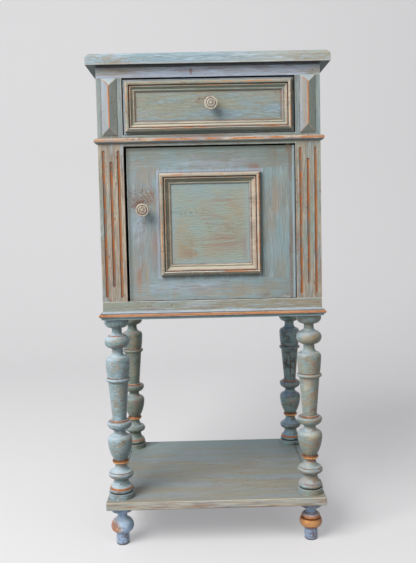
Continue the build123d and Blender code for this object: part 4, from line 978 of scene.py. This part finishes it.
def paintShelf():
    values = {"edgeStreaks": ((0.0, "blue", 0.8), (0.31, "streakOlive", 0.4), (0.77, "rust", 0.65)),
              "streakGrain": (18.0, 300.0, 420.0), "frontEdge": (0.0012, 0.0004),
              "lowerArris": (0.0016, 0.0006), "upperArris": (-0.0014, -0.0006), "underside": (0.0007, 0.0003)}
    job = startJob("shelfPaint", paint="lilacGrey", undercoat="fadedTan", glaze="teal",
                   grain=(9.0, 150.0, 150.0), cloud=(5.0, 40.0, 40.0), glazeAmount=0.5, dryBrushAmount=0.3,
                   rubAmount=0.04, speckAmount=0.05, edgeAmount=0.9, edgeColour="ivory", grooveReach=0.01,
                   contrast=0.6)
    y, z = job.y, job.z
    low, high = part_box("under_shelf")
    # bluer to the back, paler to the front
    job.tint(y.ramp(0.02, high.y), "teal", 0.4)
    job.tint(y.past(high.y, -0.10, -0.02), "blue", 0.35)
    job.tint(y.ramp(0.0, low.y + 0.03), "ivory", 0.14)
    onFront = y.past(low.y, *values["frontEdge"])
    job.tint(onFront, "ivory", 0.62)
    for shift, coat, strength in values["edgeStreaks"]:
        streaked = job.place.vector("ADD", (0.0, 0.0, shift)).vector("MULTIPLY", values["streakGrain"])
        job.tint(onFront * streaked.noise().ramp(0.49, 0.62), coat, strength)
    job.tint(onFront * z.past(low.z, *values["lowerArris"]), "brown", 0.6)
    job.tint(z.past(high.z, *values["upperArris"]) * y.past(low.y, 0.003, 0.0), "ivory", 0.6)
    # painted shade on the underside
    job.tint(z.past(low.z, *values["underside"]), "darkTeal", 0.5)
    dress(job.finish(), "under_shelf")


# Sides and base board

def paintSides():
    job = startJob("sidePaint", paint="doorBlue", glaze="fadedTan", grain=(150.0, 150.0, 9.0),
                   cloud=(16.0, 16.0, 9.0), speckAmount=0.06, contrast=0.6)
    dress(job.finish(), "side_panel_left", "side_panel_right")
    dress(startJob("basePaint", paint="teal", undercoat="blue").finish(), "base_board")


# Unpainted wood of the drawer, the back and the inner frame

def makeBareWood(name, grain, light, dark):
    values = {"bands": 0.9, "waver": 7.0, "drift": 9.0, "ringShare": 0.6, "grooveReach": 0.012,
              "grooveAmount": 0.5}
    material, tree = newMaterial(name)
    position = coordinate(tree, "Object")
    along = position.vector("MULTIPLY", grain)
    rings = Field(tree, addNode(tree, "TexWave", {
        "Vector": along, "Scale": values["bands"], "Distortion": values["waver"], "Detail": 3.0,
        "Detail Scale": 0.7, "Phase Offset": position.noise(6.0, 2.0) * values["drift"]}).outputs[1])
    pores = along.vector("MULTIPLY", (1.0, 4.0, 4.0)).noise(2.0, 5.0, 0.7)
    amount = rings * values["ringShare"] + pores * (1.0 - values["ringShare"])
    colour = mixColour(tree, amount, hexColour(light), hexColour(dark))
    groove = useGroup(tree, ownCrevices, {
        "Position": position, "Reach": values["grooveReach"], "Amount": values["grooveAmount"]})["Groove"]
    # dust and painted shade in the corners, found by occlusion
    colour = mixColour(tree, groove, colour, coats["wax"])
    finishSurface(tree, {"Base Color": colour, "Roughness": 0.68}, pores, 0.0003, 0.5)
    return material


def finishBareWood():
    dress(makeBareWood("pineAlongX", (5.0, 70.0, 70.0), "c9a777", "9c7446"), "drawer_back", "back_rail")
    dress(makeBareWood("pineAlongY", (70.0, 5.0, 70.0), "c7a474", "98703f"), "drawer_side_left",
          "drawer_side_right", "drawer_bottom", "drawer_guides", "drawer_kicker", "drawer_shelf")
    dress(makeBareWood("backWood", (60.0, 60.0, 5.0), "a98a63", "7c5d3c"), "back_panel")


# Metal and plastic fittings

def makeFitting(name, colour, spotColour, metallic, roughness):
    values = {"spotScale": 320.0, "spots": (0.45, 0.72), "spotRoughness": 0.25,
              "scuffs": (900.0, 140.0, 140.0)}
    material, tree = newMaterial(name)
    position = coordinate(tree, "Object")
    tarnish = position.noise(values["spotScale"], 5.0, 0.65).ramp(*values["spots"])
    scuffs = position.vector("MULTIPLY", values["scuffs"]).noise(1.0, 3.0, 0.6)
    finishSurface(tree, {
        "Base Color": mixColour(tree, tarnish, hexColour(colour), hexColour(spotColour)),
        "Roughness": tarnish.ramp(0.0, 1.0, roughness, roughness + values["spotRoughness"]),
        "Metallic": metallic}, scuffs, 0.0001, 0.4)
    return material


def finishFittings():
    dress(makeFitting("agedBrass", "6b5733", "3f3323", 0.85, 0.42), "hinge_case_leaves", "hinge_door_leaves")
    dress(makeFitting("zincSteel", "b9b9b6", "8d8a83", 0.9, 0.36), "hinge_case_screws", "hinge_door_screws",
          "back_panel_screws", "door_knob_screw", "drawer_knob_screw", "catch_strike")
    dress(makeFitting("catchPlastic", "5b3d28", "4b3121", 0.0, 0.42), "door_catch")


paintTop()
paintRails()
paintStiles()
paintBlocks()
paintBeads()
print("carcass painted")
paintPanelMoulding("drawer", topShade=0.42, rubAmount=0.08, undercoatAmount=0.6)
paintPanelMoulding("door", undercoat="taupe", seed=(0.5, 0.0, 0.2))
paintDoor()
paintDoorPanel()
paintDrawerFront()
paintKnob("door_knob")
paintKnob("drawer_knob")
print("door and drawer painted")
paintLegs()
paintFeet()
paintShelf()
paintSides()
print("stand painted")
finishBareWood()
finishFittings()
softenArrises(0.0009, "top_board")
softenArrises(0.0006, "drawer_front", "under_shelf", "base_board")
print("bare wood and fittings done")


# Floor, light and camera

def buildStage():
    # a pale sweep of floor, bend and wall; its glow is seen but lights nothing
    values = {"floorColour": "c3c2c3", "roughness": 0.8, "glowColour": "f1f0f2", "glow": 0.33,
              "floorFront": 3.0, "wallDistance": 2.2, "wallHeight": 3.2, "halfWidth": 3.5, "bendRadius": 0.9,
              "bendSteps": 16}
    bend = values["bendRadius"]
    bendStart = values["wallDistance"] - bend
    profile = [(-values["floorFront"], 0.0)]
    for i in range(values["bendSteps"] + 1):
        turn = math.pi / 2 * i / values["bendSteps"]
        profile.append((bendStart + bend * math.sin(turn), bend - bend * math.cos(turn)))
    profile.append((values["wallDistance"], values["wallHeight"]))
    form = bmesh.new()
    rows = [[form.verts.new((side * values["halfWidth"], y, z)) for side in (-1, 1)] for y, z in profile]
    for lower, upper in zip(rows, rows[1:]):
        face = form.faces.new((lower[0], lower[1], upper[1], upper[0]))
        face.smooth = True
    mesh = bpy.data.meshes.new("studioSweep")
    form.to_mesh(mesh)
    form.free()
    sweep = bpy.data.objects.new("studioSweep", mesh)
    bpy.context.scene.collection.objects.link(sweep)
    material, tree = newMaterial("sweepPaper")
    shader = addNode(tree, "BsdfPrincipled", {
        "Base Color": hexColour(values["floorColour"]), "Roughness": values["roughness"]})
    camera, glossy, through = (Field(tree, addNode(tree, "LightPath").outputs[f"Is {kind} Ray"])
                               for kind in ("Camera", "Glossy", "Transmission"))
    seen = camera.most(glossy.most(through))
    glow = addNode(tree, "Emission", {
        "Color": hexColour(values["glowColour"]), "Strength": seen * values["glow"]})
    both = addNode(tree, "AddShader")
    tree.links.new(shader.outputs[0], both.inputs[0])
    tree.links.new(glow.outputs[0], both.inputs[1])
    tree.links.new(both.outputs[0], addNode(tree, "OutputMaterial").inputs[0])
    mesh.materials.append(material)


def lightScene():
    target = Vector((0.0, 0.0, 0.5))
    lamps = {
        "keyLamp": {"place": (-1.5, -1.75, 2.25), "size": 1.7, "power": 96.0, "colour": (1.0, 0.99, 0.97)},
        "fillLamp": {"place": (1.8, -2.2, 1.2), "size": 1.6, "power": 9.0, "colour": (0.95, 0.98, 1.0)},
    }
    air = {"colour": (0.94, 0.96, 1.0, 1.0), "strength": 0.28}
    for name, values in lamps.items():
        data = bpy.data.lights.new(name, "AREA")
        data.shape = "RECTANGLE"
        data.size = data.size_y = values["size"]
        data.energy = values["power"]
        data.color = values["colour"]
        lamp = bpy.data.objects.new(name, data)
        lamp.location = values["place"]
        lamp.rotation_euler = (target - Vector(values["place"])).to_track_quat("-Z", "Y").to_euler()
        bpy.context.scene.collection.objects.link(lamp)
    world = bpy.data.worlds.new("studioAir")
    bpy.context.scene.world = world
    world.use_nodes = True
    background = world.node_tree.nodes["Background"]
    background.inputs["Color"].default_value = air["colour"]
    background.inputs["Strength"].default_value = air["strength"]


def addCamera():
    values = {"place": (-0.01996, -1.30696, 0.56865), "yaw": 0.0116, "pitch": -0.0705, "roll": -0.0212,
              "focalPixels": 690.0, "shiftPixels": -15.07, "longSide": 563, "sensor": 36.0}
    data = bpy.data.cameras.new("viewer")
    data.sensor_fit = "AUTO"
    data.sensor_width = values["sensor"]
    data.lens = values["focalPixels"] * values["sensor"] / values["longSide"]
    data.shift_y = values["shiftPixels"] / values["longSide"]
    data.dof.use_dof = False
    camera = bpy.data.objects.new("viewer", data)
    bpy.context.scene.collection.objects.link(camera)
    heading = Matrix.Rotation(-values["yaw"], 4, "Z")
    tilt = Matrix.Rotation(math.pi / 2 + values["pitch"], 4, "X")
    lean = Matrix.Rotation(values["roll"], 4, "Z")
    camera.matrix_world = Matrix.Translation(values["place"]) @ heading @ tilt @ lean
    bpy.context.scene.camera = camera


buildStage()
lightScene()
addCamera()
bpy.context.scene.view_settings.view_transform = "Standard"
print("stage, light and camera set")
